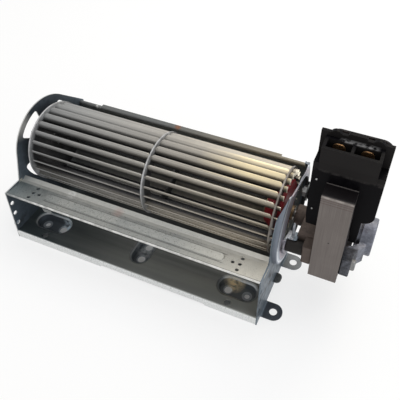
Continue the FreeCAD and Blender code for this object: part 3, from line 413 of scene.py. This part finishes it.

# %% [markdown]
# ## The end plates
# Blue-grey sheet with dark blotches. The dish round the motor end was drawn in
# a press. A painted highlight runs round it as a bright line, beside a pinkish
# band of painted reflection of the red coupling, and painted shade lies inside
# it. They may be rubbed metal, a reflection and shade. One picture can't tell,
# so here they are painted, by the distance from the shaft: a ramp over that
# distance follows the round dish by itself. The left plate is painted darker
# over its upper part. The dark upper part of the left plate may be shade too,
# and is painted as well. Its ring carries painted light, its front corner a
# cream painted highlight and its edges a painted highlight.


# %% Colours and places on the end plates
PLATE_PALE, PLATE_DARK = (0.17, 0.205, 0.24), (0.10, 0.125, 0.15)
BLOTCH, LOW_STAIN, LEFT_TOP = (0.05, 0.055, 0.06), (0.035, 0.035, 0.04), (0.40, 0.40, 0.41)
LEFT_RING_LIGHT, LEFT_CORNER_HIGHLIGHT, EDGE_HIGHLIGHT = (0.52, 0.52, 0.50), (0.75, 0.72, 0.62), (0.66, 0.66, 0.64)
RIGHT_EARS = ((-0.7, (0.21, 0.22, 0.235)), (-44.1, (0.035, 0.038, 0.046)))
DISH_HOLE_R, DISH_R = 26.0, 35.7
DISH_HIGHLIGHTS = ((0.0, (0.55, 0.57, 0.61)), (0.06, (0.22, 0.23, 0.27)), (0.40, (0.46, 0.39, 0.43)),
              (0.62, (0.58, 0.62, 0.70)), (0.76, (0.95, 0.98, 1.0)), (0.86, (0.36, 0.40, 0.47)),
              (1.0, (0.11, 0.125, 0.15)))
DISH_STREAK, DISH_SHADE = (0.20, 0.225, 0.27), (0.03, 0.035, 0.033)


# %% End plate finish
def plate_finish():
    f, base = galvanised("plate_zinc", PLATE_PALE, PLATE_DARK, 0.15)
    base = f.mix(f.patches(70.0, 5.0, 0.58, 0.66, 0.0, 0.55, 0.65), base, BLOTCH)
    low = f.both(f.spot(94.8, -38.0, -30.0, 16.0, 0.3), f.patches(240.0, 4.0, 0.45, 0.6))
    base = f.mix(low, base, LOW_STAIN)
    top = f.both(f.band("X", -98.0, -94.0), f.range(f.axis("Z"), 0.0, 0.026))
    base = f.mix(top, base, LEFT_TOP, "MULTIPLY")
    # Painted light on the left plate's ring.
    ring = f.both(f.band("X", -97.5, -94.0), f.spot(-96.0, -21.0, 27.0, 12.0, 0.3))
    base = f.mix(f.faint(ring, 0.85), base, LEFT_RING_LIGHT)
    # A cream painted highlight at the left plate's front corner.
    corner = f.both(f.spot(-96.0, -37.8, -11.1, 2.6, 0.4), f.patches(500.0, 3.0, 0.35, 0.55))
    base = f.mix(corner, base, LEFT_CORNER_HIGHLIGHT)
    # Painted highlight along the left plate's edges.
    edge = f.range(f.reckon("ABSOLUTE", f.facing("X")), 0.5, 0.2, 0.0, 0.7)
    base = f.mix(f.both(f.band("X", -97.6, -96.4), edge), base, EDGE_HIGHLIGHT)
    for y, tint in RIGHT_EARS:
        ear = f.both(f.band("X", 96.4, 109.0, 1.0), f.spot(101.5, y, -52.0, 12.0, 0.8))
        base = f.mix(f.faint(ear, 0.8), base, tint)

    drawn = f.both(f.band("X", 95.4, 104.0, 0.6), f.band("Z", -36.5, 40.0))
    # Painted highlight and painted reflection of the red coupling across the dish.
    dish_light = f.ramp(f.range(f.radius(), DISH_HOLE_R * MM, DISH_R * MM), *DISH_HIGHLIGHTS)
    streak = f.range(f.noise(1.0, 3.0, 0.6, f.rings(900.0)), 0.35, 0.6, 0.6, 0.0)
    base = f.mix(drawn, base, f.mix(streak, dish_light, DISH_STREAK))
    # Painted shade inside the dish and on its lower rear slope.
    inside_shade = f.both(f.range(f.facing("X"), 0.1, -0.3), f.range(f.radius(), 0.0352, 0.0348))
    upper_shade = f.both(f.range(f.axis("Y"), -0.012, -0.002), f.range(f.axis("Z"), 0.020, 0.008))
    dark = f.both(drawn, f.reckon("MAXIMUM", inside_shade, upper_shade))
    f.colour(f.mix(f.faint(dark, 0.9), base, DISH_SHADE))
    return f


dress(plate_finish(), "left_end_plate", "right_end_plate")

# %% [markdown]
# ## Blades and discs
# The blades are thin strip with fine lines along them and grains of dust. They
# are pale at their outer edges. Their inner edges and the middles of the discs
# look dark in the picture, from dirt or from shade, and are painted so. Their
# inner edges and the middles of the discs carry painted shade, for the shade
# inside the cage of blades. Along the shaft the blades are darker and bluer to
# the left and painted warmer and lighter to the right, as painted light. The
# tabs that stand out past the last disc are cream. The top blades near the
# motor carry a painted golden highlight, which turns with the impeller. It may
# be a film or a reflection, and is painted here, so it turns with the
# impeller. The left and centre discs are painted paler, as lit, and the right
# disc darker and browner, as shaded. A UV map could carry the lines along each
# blade, but the blades are straight, so a noise stretched along the shaft does
# it.


# %% Colours on the blades
ROLLED_DARK, ROLLED_PALE = (0.64, 0.63, 0.61), (0.88, 0.865, 0.83)
ALONG_THE_BLADES_TONE_AND_LIGHT = ((0.0, (0.38, 0.395, 0.41)), (0.45, (0.52, 0.505, 0.48)),
                    (0.8, (0.66, 0.61, 0.53)), (1.0, (0.62, 0.56, 0.46)))
CLOUDED, GOLDEN_HIGHLIGHT = (0.48, 0.455, 0.43), (1.0, 0.85, 0.54)
INNER_SHADE, BLADE_DUST, TAB_CREAM = (0.034, 0.034, 0.037), (0.80, 0.77, 0.70), (0.80, 0.75, 0.62)


# %% Blade steel
def blade_steel():
    f = Finish("blade_steel", 0.5, 0.42)
    line = f.noise(1.0, 3.0, 0.5, f.stretched(6.0, 900.0, 900.0))
    film = f.ramp(line, (0.3, ROLLED_DARK), (0.7, ROLLED_PALE))
    cloud = f.noise(30.0, 3.0, 0.6)
    film = f.mix(f.range(cloud, 0.4, 0.7, 0.0, 0.3), film, CLOUDED)
    # Painted light along the shaft: darker and bluer to the left, warmer and lighter to the
    # right.
    along = f.ramp(f.range(f.axis("X"), -0.095, 0.092), *ALONG_THE_BLADES_TONE_AND_LIGHT)
    film = f.mix(1.0, film, along, "MULTIPLY")
    # A painted golden highlight on the top blades near the motor.
    golden_highlight_zone = f.both(f.range(f.axis("X"), 0.030, 0.066), f.range(f.axis("Z"), 0.0255, 0.0280))
    film = f.mix(f.both(golden_highlight_zone, f.range(cloud, 0.3, 0.6, 0.6, 1.0)), film, GOLDEN_HIGHLIGHT)
    # Painted shade on the blades' inner edges, inside the cage.
    film = f.mix(f.range(f.radius(), 0.0278, 0.0246), film, INNER_SHADE)
    film = f.mix(f.patches(1700.0, 2.0, 0.70, 0.74, 0.0, 0.7, 0.6), film, BLADE_DUST)
    f.colour(f.mix(f.band("X", 92.4, 99.0, 0.1), film, TAB_CREAM))
    f.roughness(f.range(line, 0.3, 0.7, 0.34, 0.5))
    f.bump(line, 0.15, 0.05)
    return f


dress(blade_steel(), "impeller_blades")


# %% Disc steel
DISC_SHADE = (0.035, 0.034, 0.034)


def disc_steel(name, deep, light, inner_shade_share=0.9):
    f = Finish(name, 0.5, 0.4)
    rim = f.ramp(f.noise(140.0, 4.0, 0.6), (0.3, deep), (0.7, light))
    # Painted shade in the middles of the discs, inside the cage of blades.
    inner = f.range(f.radius(), 0.0275, 0.0258, 0.0, inner_shade_share)
    f.colour(f.mix(inner, rim, DISC_SHADE))
    f.bump(f.noise(1200.0, 2.0), 0.2, 0.03)
    return f


# One steel in two copies: painted paler, as lit, on the left and centre discs, darker and
# browner, as shaded, on the right disc.
dress(disc_steel("disc_steel_lit", (0.26, 0.26, 0.255), (0.60, 0.60, 0.61)),
      "left_end_disc", "centre_disc")
dress(disc_steel("disc_steel_shaded", (0.14, 0.125, 0.11), (0.30, 0.27, 0.245)), "right_end_disc")
dress(disc_steel("hub_steel", (0.06, 0.06, 0.062), (0.12, 0.12, 0.125)), "left_hub")

# %% [markdown]
# ## Turned and stamped steel
# Shafts, pins and clips are plain bright steel with a little haze. One noise
# drives both the grey and the roughness, because haze is paler and duller than
# clean steel. The motor's shaft is painted dark, as painted shade between the
# plate and the motor. Screws and nuts are duller, and take the discs' steel in
# other greys, without the painted shade near the shaft.


# %% Bright steel
def bright_steel():
    f = Finish("bright_steel", 1.0, 0.3)
    haze = f.noise(400.0, 3.0)
    bare = f.ramp(haze, (0.3, (0.30, 0.30, 0.30)), (0.7, (0.50, 0.50, 0.49)))
    near_shaft = f.range(f.radius(), 0.0036, 0.0032, 0.0, 0.85)
    # Painted shade on the motor's shaft between the plate and the motor.
    shaft_shade = f.both(f.band("X", 78.0, 148.0, 1.0), near_shaft)
    f.colour(f.mix(shaft_shade, bare, (0.05, 0.042, 0.038)))
    f.roughness(f.range(haze, 0.3, 0.7, 0.25, 0.42))
    return f


dress(bright_steel(), "left_stub_shaft", "left_bearing_clip", "motor_shaft", "bearing_clips")
dress(disc_steel("screw_steel", (0.16, 0.16, 0.16), (0.36, 0.355, 0.35), 0.0), "motor_screws")
dress(disc_steel("nut_steel", (0.24, 0.25, 0.25), (0.44, 0.455, 0.45), 0.0), "motor_nuts")

# %% [markdown]
# ## Silicone and rubber
# The coupling that drives the impeller is dark red, which is taken for soft
# silicone, and is painted darker still, as painted shade between the last disc
# and the plate. The spacers and the left bearing's mount are taken for black
# rubber.
# Both scatter light and hardly shine. Light could be let into the material by
# subsurface scattering, but on pieces so small and dark a rough surface with a
# low specular level is enough.


# %% Silicone and rubber
def soft_rubber(name, deep, light, roughness):
    f = Finish(name, 0.0, roughness, 0.25)
    f.colour(f.ramp(f.noise(160.0, 3.0, 0.6), (0.3, deep), (0.7, light)))
    f.bump(f.noise(1800.0, 2.0), 0.2, 0.04)
    return f


# The silicone's dark red is painted darker, as painted shade.
dress(soft_rubber("silicone_red", (0.105, 0.004, 0.008), (0.20, 0.008, 0.012), 0.5), "drive_hub")
dress(soft_rubber("rubber_black", (0.010, 0.008, 0.007), (0.020, 0.017, 0.015), 0.6),
      "left_bearing_grommet", "motor_spacers")

# %% [markdown]
# ## Bronze, brass and copper
# Bushes of such motors are sintered bronze, porous and dull. The sleeve in the
# coupling is finished as brass, painted dark as painted shade inside the
# coupling, the two terminals as browned copper alloy, and the shading loops as
# bare copper. The four differ only in colour, roughness and grain, so one
# function makes them all.


# %% Yellow and red metals
def coloured_metal(name, deep, light, roughness, grain):
    f = Finish(name, 0.9, roughness)
    f.colour(f.ramp(f.noise(grain, 4.0, 0.7), (0.35, deep), (0.65, light)))
    f.bump(f.noise(grain * 3.0, 2.0), 0.2, 0.03)
    return f


dress(coloured_metal("bronze", (0.24, 0.15, 0.07), (0.40, 0.26, 0.13), 0.55, 900.0),
      "left_bearing_bush", "motor_bearings")
# The brass is painted dark, as painted shade inside the coupling.
dress(coloured_metal("brass", (0.10, 0.070, 0.042), (0.18, 0.125, 0.072), 0.5, 500.0),
      "drive_hub_insert")
dress(coloured_metal("copper_alloy", (0.16, 0.085, 0.040), (0.28, 0.165, 0.080), 0.45, 500.0),
      "terminal_tabs")
dress(coloured_metal("copper", (0.42, 0.15, 0.06), (0.62, 0.26, 0.12), 0.38, 400.0),
      "shading_rings")

# %% [markdown]
# ## Winding
# Enamelled wire is wound side by side on the bobbin. Seen from a step away it
# is a surface of fine ridges, so bands across the bobbin raise them. Modelled
# turns would be dozens of rings finer than a pixel of the picture. A wave
# texture repeats every pi / 10 units at scale 1, which sets its scale.


# %% Winding
WIRE = 0.45     # the wire's thickness in millimetres


def winding():
    f = Finish("enamelled_wire", 0.6, 0.35)
    wave = f.add("ShaderNodeTexWave", wave_type="BANDS", bands_direction="Y")
    f.feed(wave.inputs["Vector"], f.place)
    wave.inputs["Scale"].default_value = math.pi / 10.0 / (WIRE * MM)
    wave.inputs["Distortion"].default_value = 0.4
    ridge = wave.outputs["Fac"]
    f.colour(f.ramp(ridge, (0.0, (0.10, 0.03, 0.012)), (1.0, (0.40, 0.13, 0.05))))
    f.bump(ridge, 0.8, 0.15)
    return f


dress(winding(), "coil_winding")

# %% [markdown]
# ## Laminations
# The stator is a stack of thin punched sheets. Their edges show as fine lines
# across the thickness, on a warm grey film of varnish and handling. The face
# that looks to the right carries painted shade, from the gap between the stack
# and its bracket. The face that looks up is black with old varnish, with a thin
# painted highlight along it by the bobbin's flange. Three dark lines cross the
# front under its top edge, and the edge itself carries a broken painted
# highlight.
# A wave texture would make the fine lines too regular, so they are a noise
# squeezed along the thickness.


# %% Laminations
FILM_DARK, FILM_PALE = (0.145, 0.125, 0.115), (0.190, 0.166, 0.153)
FILM_CLOUD, DARK_LINE, STACK_EDGE_HIGHLIGHT = (0.15, 0.13, 0.12), (0.09, 0.05, 0.045), (0.40, 0.36, 0.33)
DENT, SIDE_SHADE, TOP_BLACK = (0.03, 0.025, 0.025), (0.012, 0.010, 0.012), (0.010, 0.008, 0.009)
TOP_EDGE_HIGHLIGHT = (0.22, 0.2, 0.19)
FRONT_LINES = (52.6, 51.2, 49.4)     # heights of the three lines


def lamination():
    f = Finish("lamination", 0.35, 0.5, 0.3)
    line = f.noise(1.0, 2.0, 0.5, f.stretched(2000.0, 30.0, 30.0))
    film = f.ramp(line, (0.3, FILM_DARK), (0.7, FILM_PALE))
    cloud = f.noise(60.0, 4.0, 0.6)
    film = f.mix(f.range(cloud, 0.35, 0.7, 0.0, 0.4), film, FILM_CLOUD)
    for height in FRONT_LINES:
        mark = f.band("Z", height - 0.15, height + 0.15, 0.2)
        film = f.mix(f.faint(mark, 0.55), film, DARK_LINE)
    # A broken painted highlight along the stack's top edge.
    edge_highlight_mask = f.both(f.band("Z", 53.5, 54.4, 0.15), f.patches(300.0, 3.0, 0.4, 0.6, 0.3, 0.9))
    film = f.mix(edge_highlight_mask, film, STACK_EDGE_HIGHLIGHT)
    film = f.mix(f.spot(126.6, -30.0, 18.0, 0.7), film, DENT)
    # Painted shade on the face to the right, between the stack and its bracket.
    film = f.mix(f.range(f.facing("X"), 0.4, 0.8, 0.0, 0.85), film, SIDE_SHADE)
    # The top face is black, with a thin painted highlight along it by the bobbin's flange.
    top = f.mix(f.band("Y", -20.0, -19.4, 0.2), TOP_BLACK, TOP_EDGE_HIGHLIGHT)
    f.colour(f.mix(f.range(f.facing("Z"), 0.6, 0.9), film, top))
    f.roughness(f.range(cloud, 0.3, 0.7, 0.42, 0.6))
    f.bump(line, 0.35, 0.08)
    return f


dress(lamination(), "stator_stack", "core_bar", "rotor_core")

# %% [markdown]
# ## Castings
# The brackets are castings with a rough, pitted skin: bluish grey on the open
# side, and painted dark brown on the side towards the impeller, as painted
# shade with a warm light on it. Their feet, where the screws go through, have a
# tone of their own. The pits are bump from a fine noise, because as real dents
# they would need very many faces.


# %% Castings
def casting(name, deep, light, roughness, pit, metallic=0.6, feet_tone=0.4):
    """A rough cast skin; feet_tone makes the feet darker or paler than deep."""
    f = Finish(name, metallic, roughness, 0.3)
    skin = f.ramp(f.noise(240.0, 5.0, 0.7), (0.3, deep), (0.7, light))
    front_foot, rear_foot = f.band("Y", -40.0, -18.5, 1.0), f.band("Y", 18.5, 40.0, 1.0)
    feet = f.both(f.band("Z", -12.0, 12.0, 1.0), f.reckon("MAXIMUM", front_foot, rear_foot))
    grime = f.both(feet, f.patches(500.0, 4.0, 0.3, 0.6, 0.5, 1.0, 0.7))
    f.colour(f.mix(grime, skin, tuple(feet_tone * part for part in deep)))
    f.bump(f.noise(1100.0, 4.0, 0.6), pit, 0.12)
    return f


dress(casting("die_cast", (0.085, 0.089, 0.106), (0.25, 0.262, 0.31), 0.45, 0.6),
      "right_bearing_bracket")
# The left bracket takes the casting in dark brown, as painted shade with a warm light on it.
dress(casting("die_cast_shaded", (0.060, 0.045, 0.038), (0.125, 0.095, 0.080), 0.6, 0.5,
              metallic=0.2, feet_tone=1.8), "left_bearing_bracket")
dress(casting("rotor_alloy", (0.16, 0.15, 0.15), (0.26, 0.25, 0.25), 0.5, 0.3),
      "rotor_end_rings")


# %% [markdown]
# ## Black mouldings
# The bobbin and its terminal housing are black resin, nearly matt. Their fronts
# carry a pale haze, the foot of the terminal housing is worn, and one whitish
# scuff lies on the ledge behind the terminals. The bobbin is one mesh, so each
# mark is tied to a place or to the way a face looks, to stay on its own face.


# %% Black mouldings
RESIN_DEEP, RESIN_LIGHT = (0.0025, 0.0022, 0.0030), (0.0050, 0.0045, 0.0055)
RESIN_DUST, FRONT_HAZE = (0.030, 0.028, 0.027), (0.010, 0.009, 0.0095)
BOX_FRONT, BOX_FOOT = (0.022, 0.020, 0.0195), (0.030, 0.027, 0.027)
LEDGE_SCUFF = (0.20, 0.195, 0.195)


def black_moulding():
    f = Finish("black_moulding", 0.0, 0.45, 0.05)
    grain = f.noise(350.0, 4.0, 0.6)
    base = f.ramp(grain, (0.3, RESIN_DEEP), (0.7, RESIN_LIGHT))
    base = f.mix(f.patches(900.0, 5.0, 0.66, 0.78, 0.0, 0.4, 0.7), base, RESIN_DUST)
    haze = f.patches(200.0, 5.0, 0.3, 0.7, 0.1, 0.9, 0.7)
    base = f.mix(f.both(f.band("Y", -22.0, -21.0, 0.1), haze), base, FRONT_HAZE)
    box = f.both(f.band("Z", 64.0, 84.0, 1.0), f.range(f.facing("Y"), -0.3, -0.7, 0.0, 0.8))
    base = f.mix(box, base, BOX_FRONT)
    foot = f.both(f.band("Z", 62.0, 64.0, 0.8), f.patches(300.0, 4.0, 0.4, 0.62, rough=0.7))
    base = f.mix(foot, base, BOX_FOOT)
    ledge = f.both(f.band("Z", 79.5, 80.5, 0.2), f.band("Y", -12.4, -10.3, 0.4))
    scuff = f.both(f.band("X", 122.0, 138.0, 3.0), f.patches(420.0, 4.0, 0.38, 0.55))
    f.colour(f.mix(f.both(ledge, scuff), base, LEDGE_SCUFF))
    f.roughness(f.range(grain, 0.3, 0.7, 0.36, 0.54))
    f.bump(f.noise(1600.0, 3.0), 0.2, 0.04)
    return f


dress(black_moulding(), "coil_bobbin", "thrust_washers")


# %% [markdown]
# ## Felt
# The oil felts in the bosses can't be seen. They get a plain fibrous finish
# from one fine noise, for both the colour and the bump.


# %% Felt
def felt():
    f = Finish("felt", 0.0, 0.95)
    fibre = f.noise(1400.0, 6.0, 0.8)
    f.colour(f.ramp(fibre, (0.3, (0.25, 0.21, 0.15)), (0.7, (0.45, 0.40, 0.31))))
    f.bump(fibre, 0.6, 0.2)
    return f


dress(felt(), "bearing_felts")

# %% [markdown]
# ## Small sheet and moulded pieces
# A few small forms of the picture are missing from the frame, so they are made
# here. Each starts as a block between two corners. An end face is drawn out,
# and the edges are beveled. The piece is built where it stands, and then rides
# on the housing. A filled outline given a thickness would do as well, but a
# block whose end is drawn out by a given length is easier to change.


# %% Helpers for small pieces
def block(name, low, high):
    """A block between two corners, in millimetres from the impeller's middle."""
    bpy.ops.object.select_all(action="DESELECT")
    low, high = Vector(low) * MM + IMPELLER, Vector(high) * MM + IMPELLER
    bpy.ops.mesh.primitive_cube_add(size=1.0, location=(low + high) / 2, scale=high - low)
    piece = bpy.context.object
    piece.name = name
    bpy.ops.object.transform_apply(location=True, rotation=True, scale=True)
    return piece


def pick(piece, direction):
    """Go to edit mode with only the faces that look one way selected."""
    bpy.ops.object.mode_set(mode="EDIT")
    bpy.ops.mesh.select_mode(type="FACE")
    bpy.ops.mesh.select_all(action="DESELECT")
    bpy.ops.object.mode_set(mode="OBJECT")
    for face in piece.data.polygons:
        face.select = face.normal.dot(Vector(direction)) > 0.9
    bpy.ops.object.mode_set(mode="EDIT")


def draw_out(piece, direction, length, width=1.0):
    """Extrude the faces that look one way, and widen or narrow the new end."""
    pick(piece, direction)
    move = tuple(length * MM * part for part in direction)
    bpy.ops.mesh.extrude_region_move(TRANSFORM_OT_translate={"value": move})
    bpy.ops.transform.resize(value=tuple(1.0 if part else width for part in direction))
    bpy.ops.object.mode_set(mode="OBJECT")


def finish_piece(piece, radius, material):
    """Bevel every sharp edge, give the piece its finish and let it ride."""
    bpy.ops.object.mode_set(mode="EDIT")
    bpy.ops.mesh.select_all(action="SELECT")
    bpy.ops.mesh.remove_doubles(threshold=0.01 * MM)
    bpy.ops.object.mode_set(mode="OBJECT")
    rounding = piece.modifiers.new("rounding", "BEVEL")
    rounding.width = radius * MM
    rounding.segments = 2
    bpy.ops.object.modifier_apply(modifier=rounding.name)
    bpy.ops.object.shade_smooth_by_angle(angle=math.radians(20.0))
    piece.data.materials.append(FINISHES[material])
    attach(piece, "housing")
    print(piece.name, len(piece.data.polygons), "faces")


# %% [markdown]
# ## Dark tongues below the bobbin
# Below the bobbin's front flange the picture is black on each side of the
# stack, down to the bracket. What is there can't be read, so a plain black
# tongue on each side stands for it: partly a form, partly a dark sheet put into
# the shade there. Each is a block with its lower end drawn out and narrowed.
# Two small bright spots on the flange are made as round heads.


# %% Tongues and heads
SHADE_TONGUES = (("shade_tongue_left", 108.85, 117.7, 26.0, 9.0), ("shade_tongue_right", 135.95, 141.2, 22.0, 10.0))
HEAD_HEIGHTS = (55.3, 31.3)
HEAD_RADIUS = 0.65

# Each tongue is partly a form and partly a dark sheet put into the shade below the bobbin's
# flange.
for name, left, right, low, drop in SHADE_TONGUES:
    tongue = block(name, (left, -19.25, low), (right, -17.75, 40.0))
    draw_out(tongue, (0, 0, -1), drop, 0.86)
    finish_piece(tongue, 0.3, "black_moulding")

for number, height in enumerate(HEAD_HEIGHTS, start=1):
    bpy.ops.object.select_all(action="DESELECT")
    place = IMPELLER + Vector((112.0, -19.35, height)) * MM
    bpy.ops.mesh.primitive_cylinder_add(
        vertices=20, radius=HEAD_RADIUS * MM, depth=0.5 * MM, location=place,
        rotation=(math.radians(90.0), 0.0, 0.0))
    head = bpy.context.object
    head.name = f"wire_pin_{number}"
    bpy.ops.object.transform_apply(location=True, rotation=True, scale=True)
    draw_out(head, (0, -1, 0), 0.25, 0.6)
    finish_piece(head, 0.1, "bright_steel")

# %% [markdown]
# ## The bracket's web
# Between the left bracket's boss and its front foot the picture shows brown
# casting, where the frame has a gap. How deep it is can't be seen: this web is
# a guess, so it stays a plain block. It counts as part of the casting, so it
# takes the casting's skin.


# %% Web
# The web takes the left bracket's skin, with its painted shade.
web = block("bracket_web", (105.9, -20.6, -4.0), (117.7, -6.0, 4.8))
draw_out(web, (0, 0, 1), 1.6, 0.96)
finish_piece(web, 0.4, "die_cast_shaded")

# %% [markdown]
# ## The lug's fold and the strip's hem
# By the front lug of the right plate a light tab lies over the spacer, with a
# narrow leg standing up. The strip's front edge has one short hem hanging from
# it near the left end. Each is a thin block with one end drawn out. All are
# small, and their depth is a guess.


# %% Fold and hem
fold = block("lug_fold", (99.9, -24.4, 3.0), (106.0, -17.6, 3.8))
draw_out(fold, (1, 0, 0), 0.9, 0.7)
finish_piece(fold, 0.2, "plate_zinc")
leg = block("lug_leg", (102.5, -20.6, 3.7), (104.3, -19.9, 11.0))
draw_out(leg, (0, 0, 1), 3.6, 0.7)
finish_piece(leg, 0.2, "plate_zinc")
hem = block("strip_hem", (-66.6, -52.8, -14.0), (-59.4, -52.1, -12.2))
draw_out(hem, (0, 0, -1), 1.6, 0.8)
finish_piece(hem, 0.2, "housing_zinc")

# %% [markdown]
# ## Floor
# The fan stands on a plain white sheet. For the camera and in reflections the
# sheet gives part of its white by itself, so the shadow on it stays pale and
# no lamp has to be turned up for it. The part right under the duct gives none,
# because it lies in the fan's shadow.


# %% Floor
FLOOR_GLOW = 0.72     # how much of the sheet's white is its own, for the camera


def rays_that_see(tree):
    """1 for rays from the camera and in reflections, 0 for rays that carry light."""
    path = tree.nodes.new("ShaderNodeLightPath")
    seen = path.outputs["Is Camera Ray"]
    for ray in ("Is Glossy Ray", "Is Transmission Ray"):
        either = tree.nodes.new("ShaderNodeMath")
        either.operation = "MAXIMUM"
        tree.links.new(seen, either.inputs[0])
        tree.links.new(path.outputs[ray], either.inputs[1])
        seen = either.outputs[0]
    return seen


def pale_floor():
    f = Finish("floor_white", 0.0, 0.9, 0.0)
    under = f.both(f.band("X", -86.0, 84.0, 3.0), f.band("Y", -52.0, -10.0, 3.0))
    f.colour((0.95, 0.95, 0.95))
    glow = f.add("ShaderNodeEmission")
    blend = f.add("ShaderNodeMixShader")
    share = f.faint(f.reckon("SUBTRACT", 1.0, under), FLOOR_GLOW)
    f.feed(blend.inputs[0], f.both(rays_that_see(f.tree), share))
    f.tree.links.new(f.shader.outputs[0], blend.inputs[1])
    f.tree.links.new(glow.outputs[0], blend.inputs[2])
    f.tree.links.new(blend.outputs[0], f.tree.nodes["Material Output"].inputs["Surface"])
    return f


bpy.ops.object.select_all(action="DESELECT")
floor_z = cad_box[0][2] - 0.05 * MM
bpy.ops.mesh.primitive_plane_add(size=30.0, location=(0.0, 0.0, floor_z))
floor = bpy.context.object
floor.name = "floor"
floor.data.materials.append(pale_floor().material)
print("floor at", round(floor_z / MM, 3), "mm")

# %% [markdown]
# ## Light
# The world is white to the camera and in reflections, and about half as strong
# as a source of light. Three soft lamps shape the sheet: a high one behind, a
# bluish one on the right and a small warm one behind the motor. They are wide,
# because small ones would draw hard shadows and highlights.


# %% World and lamps
WORLD_LIGHT = 0.55
world = bpy.data.worlds.new("studio")
bpy.context.scene.world = world
world.use_nodes = True
tree = world.node_tree
backdrop = tree.nodes["Background"]
backdrop.inputs["Color"].default_value = (1.0, 1.0, 1.0, 1.0)
level = tree.nodes.new("ShaderNodeMapRange")
level.inputs["To Min"].default_value = WORLD_LIGHT
level.inputs["To Max"].default_value = 1.0
tree.links.new(rays_that_see(tree), level.inputs["Value"])
tree.links.new(level.outputs["Result"], backdrop.inputs["Strength"])
print("world light", WORLD_LIGHT)


def lamp(name, aim, azimuth, elevation, distance, size, power, colour=(1.0, 1.0, 1.0)):
    """A soft square lamp that looks at a point from a direction."""
    light = bpy.data.lights.new(name, "AREA")
    light.size = size
    light.energy = power
    light.color = colour
    a, e = math.radians(azimuth), math.radians(elevation)
    out = Vector((math.sin(a) * math.cos(e), -math.cos(a) * math.cos(e), math.sin(e)))
    holder = bpy.data.objects.new(name, light)
    holder.location = Vector(aim) + out * distance
    holder.rotation_mode = "QUATERNION"
    holder.rotation_quaternion = (-out).to_track_quat("-Z", "Y")
    bpy.context.scene.collection.objects.link(holder)
    print("lamp", name, power, "W")


lamp("key", (0.0, 0.0, 0.0), azimuth=150.0, elevation=68.0, distance=1.3, size=0.9, power=8.0)
lamp("right_fill", (0.05, 0.0, 0.0), azimuth=75.0, elevation=25.0, distance=1.3, size=0.6,
     power=2.5, colour=(0.80, 0.90, 1.0))
lamp("warm_back", (0.05, 0.0, 0.02), azimuth=165.0, elevation=45.0, distance=1.1, size=0.35,
     power=2.0, colour=(1.0, 0.88, 0.66))

# %% [markdown]
# ## Camera
# The camera stands in front, above and a little to the right, close enough
# that the near end looks larger. Its place counts from the impeller's middle,
# in millimetres, and its angles are in degrees. A constraint could aim it, but
# not give the small roll, so its three directions are worked out here. The
# picture's centre lies beside the lens axis, and the two shift values say by
# how much.

# %% Camera
CAMERA_AT = IMPELLER + Vector((144.88, -213.33, 247.65)) * MM
CAMERA_AZIMUTH, CAMERA_ELEVATION, CAMERA_ROLL = (math.radians(v) for v in (20.61, 44.05, 1.65))
PICTURE = 400.0                     # the picture's width and height in pixels
FOCAL_PIXELS = 496.55               # the lens's focal length in the same pixels
AXIS_PIXEL = (248.52, 169.84)       # where the lens axis meets the picture

back = Vector((math.sin(CAMERA_AZIMUTH) * math.cos(CAMERA_ELEVATION),
               -math.cos(CAMERA_AZIMUTH) * math.cos(CAMERA_ELEVATION),
               math.sin(CAMERA_ELEVATION)))
level_right = Vector((math.cos(CAMERA_AZIMUTH), math.sin(CAMERA_AZIMUTH), 0.0))
level_up = back.cross(level_right)
right = level_right * math.cos(CAMERA_ROLL) + level_up * math.sin(CAMERA_ROLL)
up = level_up * math.cos(CAMERA_ROLL) - level_right * math.sin(CAMERA_ROLL)

lens = bpy.data.cameras.new("camera")
lens.sensor_width = 36.0
lens.lens = FOCAL_PIXELS / PICTURE * lens.sensor_width
lens.shift_x = (PICTURE / 2 - AXIS_PIXEL[0]) / PICTURE
lens.shift_y = (AXIS_PIXEL[1] - PICTURE / 2) / PICTURE
lens.clip_start = 0.01
camera = bpy.data.objects.new("camera", lens)
camera.matrix_world = Matrix((
    (right.x, up.x, back.x, CAMERA_AT.x),
    (right.y, up.y, back.y, CAMERA_AT.y),
    (right.z, up.z, back.z, CAMERA_AT.z),
    (0.0, 0.0, 0.0, 1.0),
))
bpy.context.scene.collection.objects.link(camera)
bpy.context.scene.camera = camera
bpy.context.scene.view_settings.view_transform = "Standard"
print("camera at", tuple(CAMERA_AT), "with a lens of", round(lens.lens, 2), "mm")
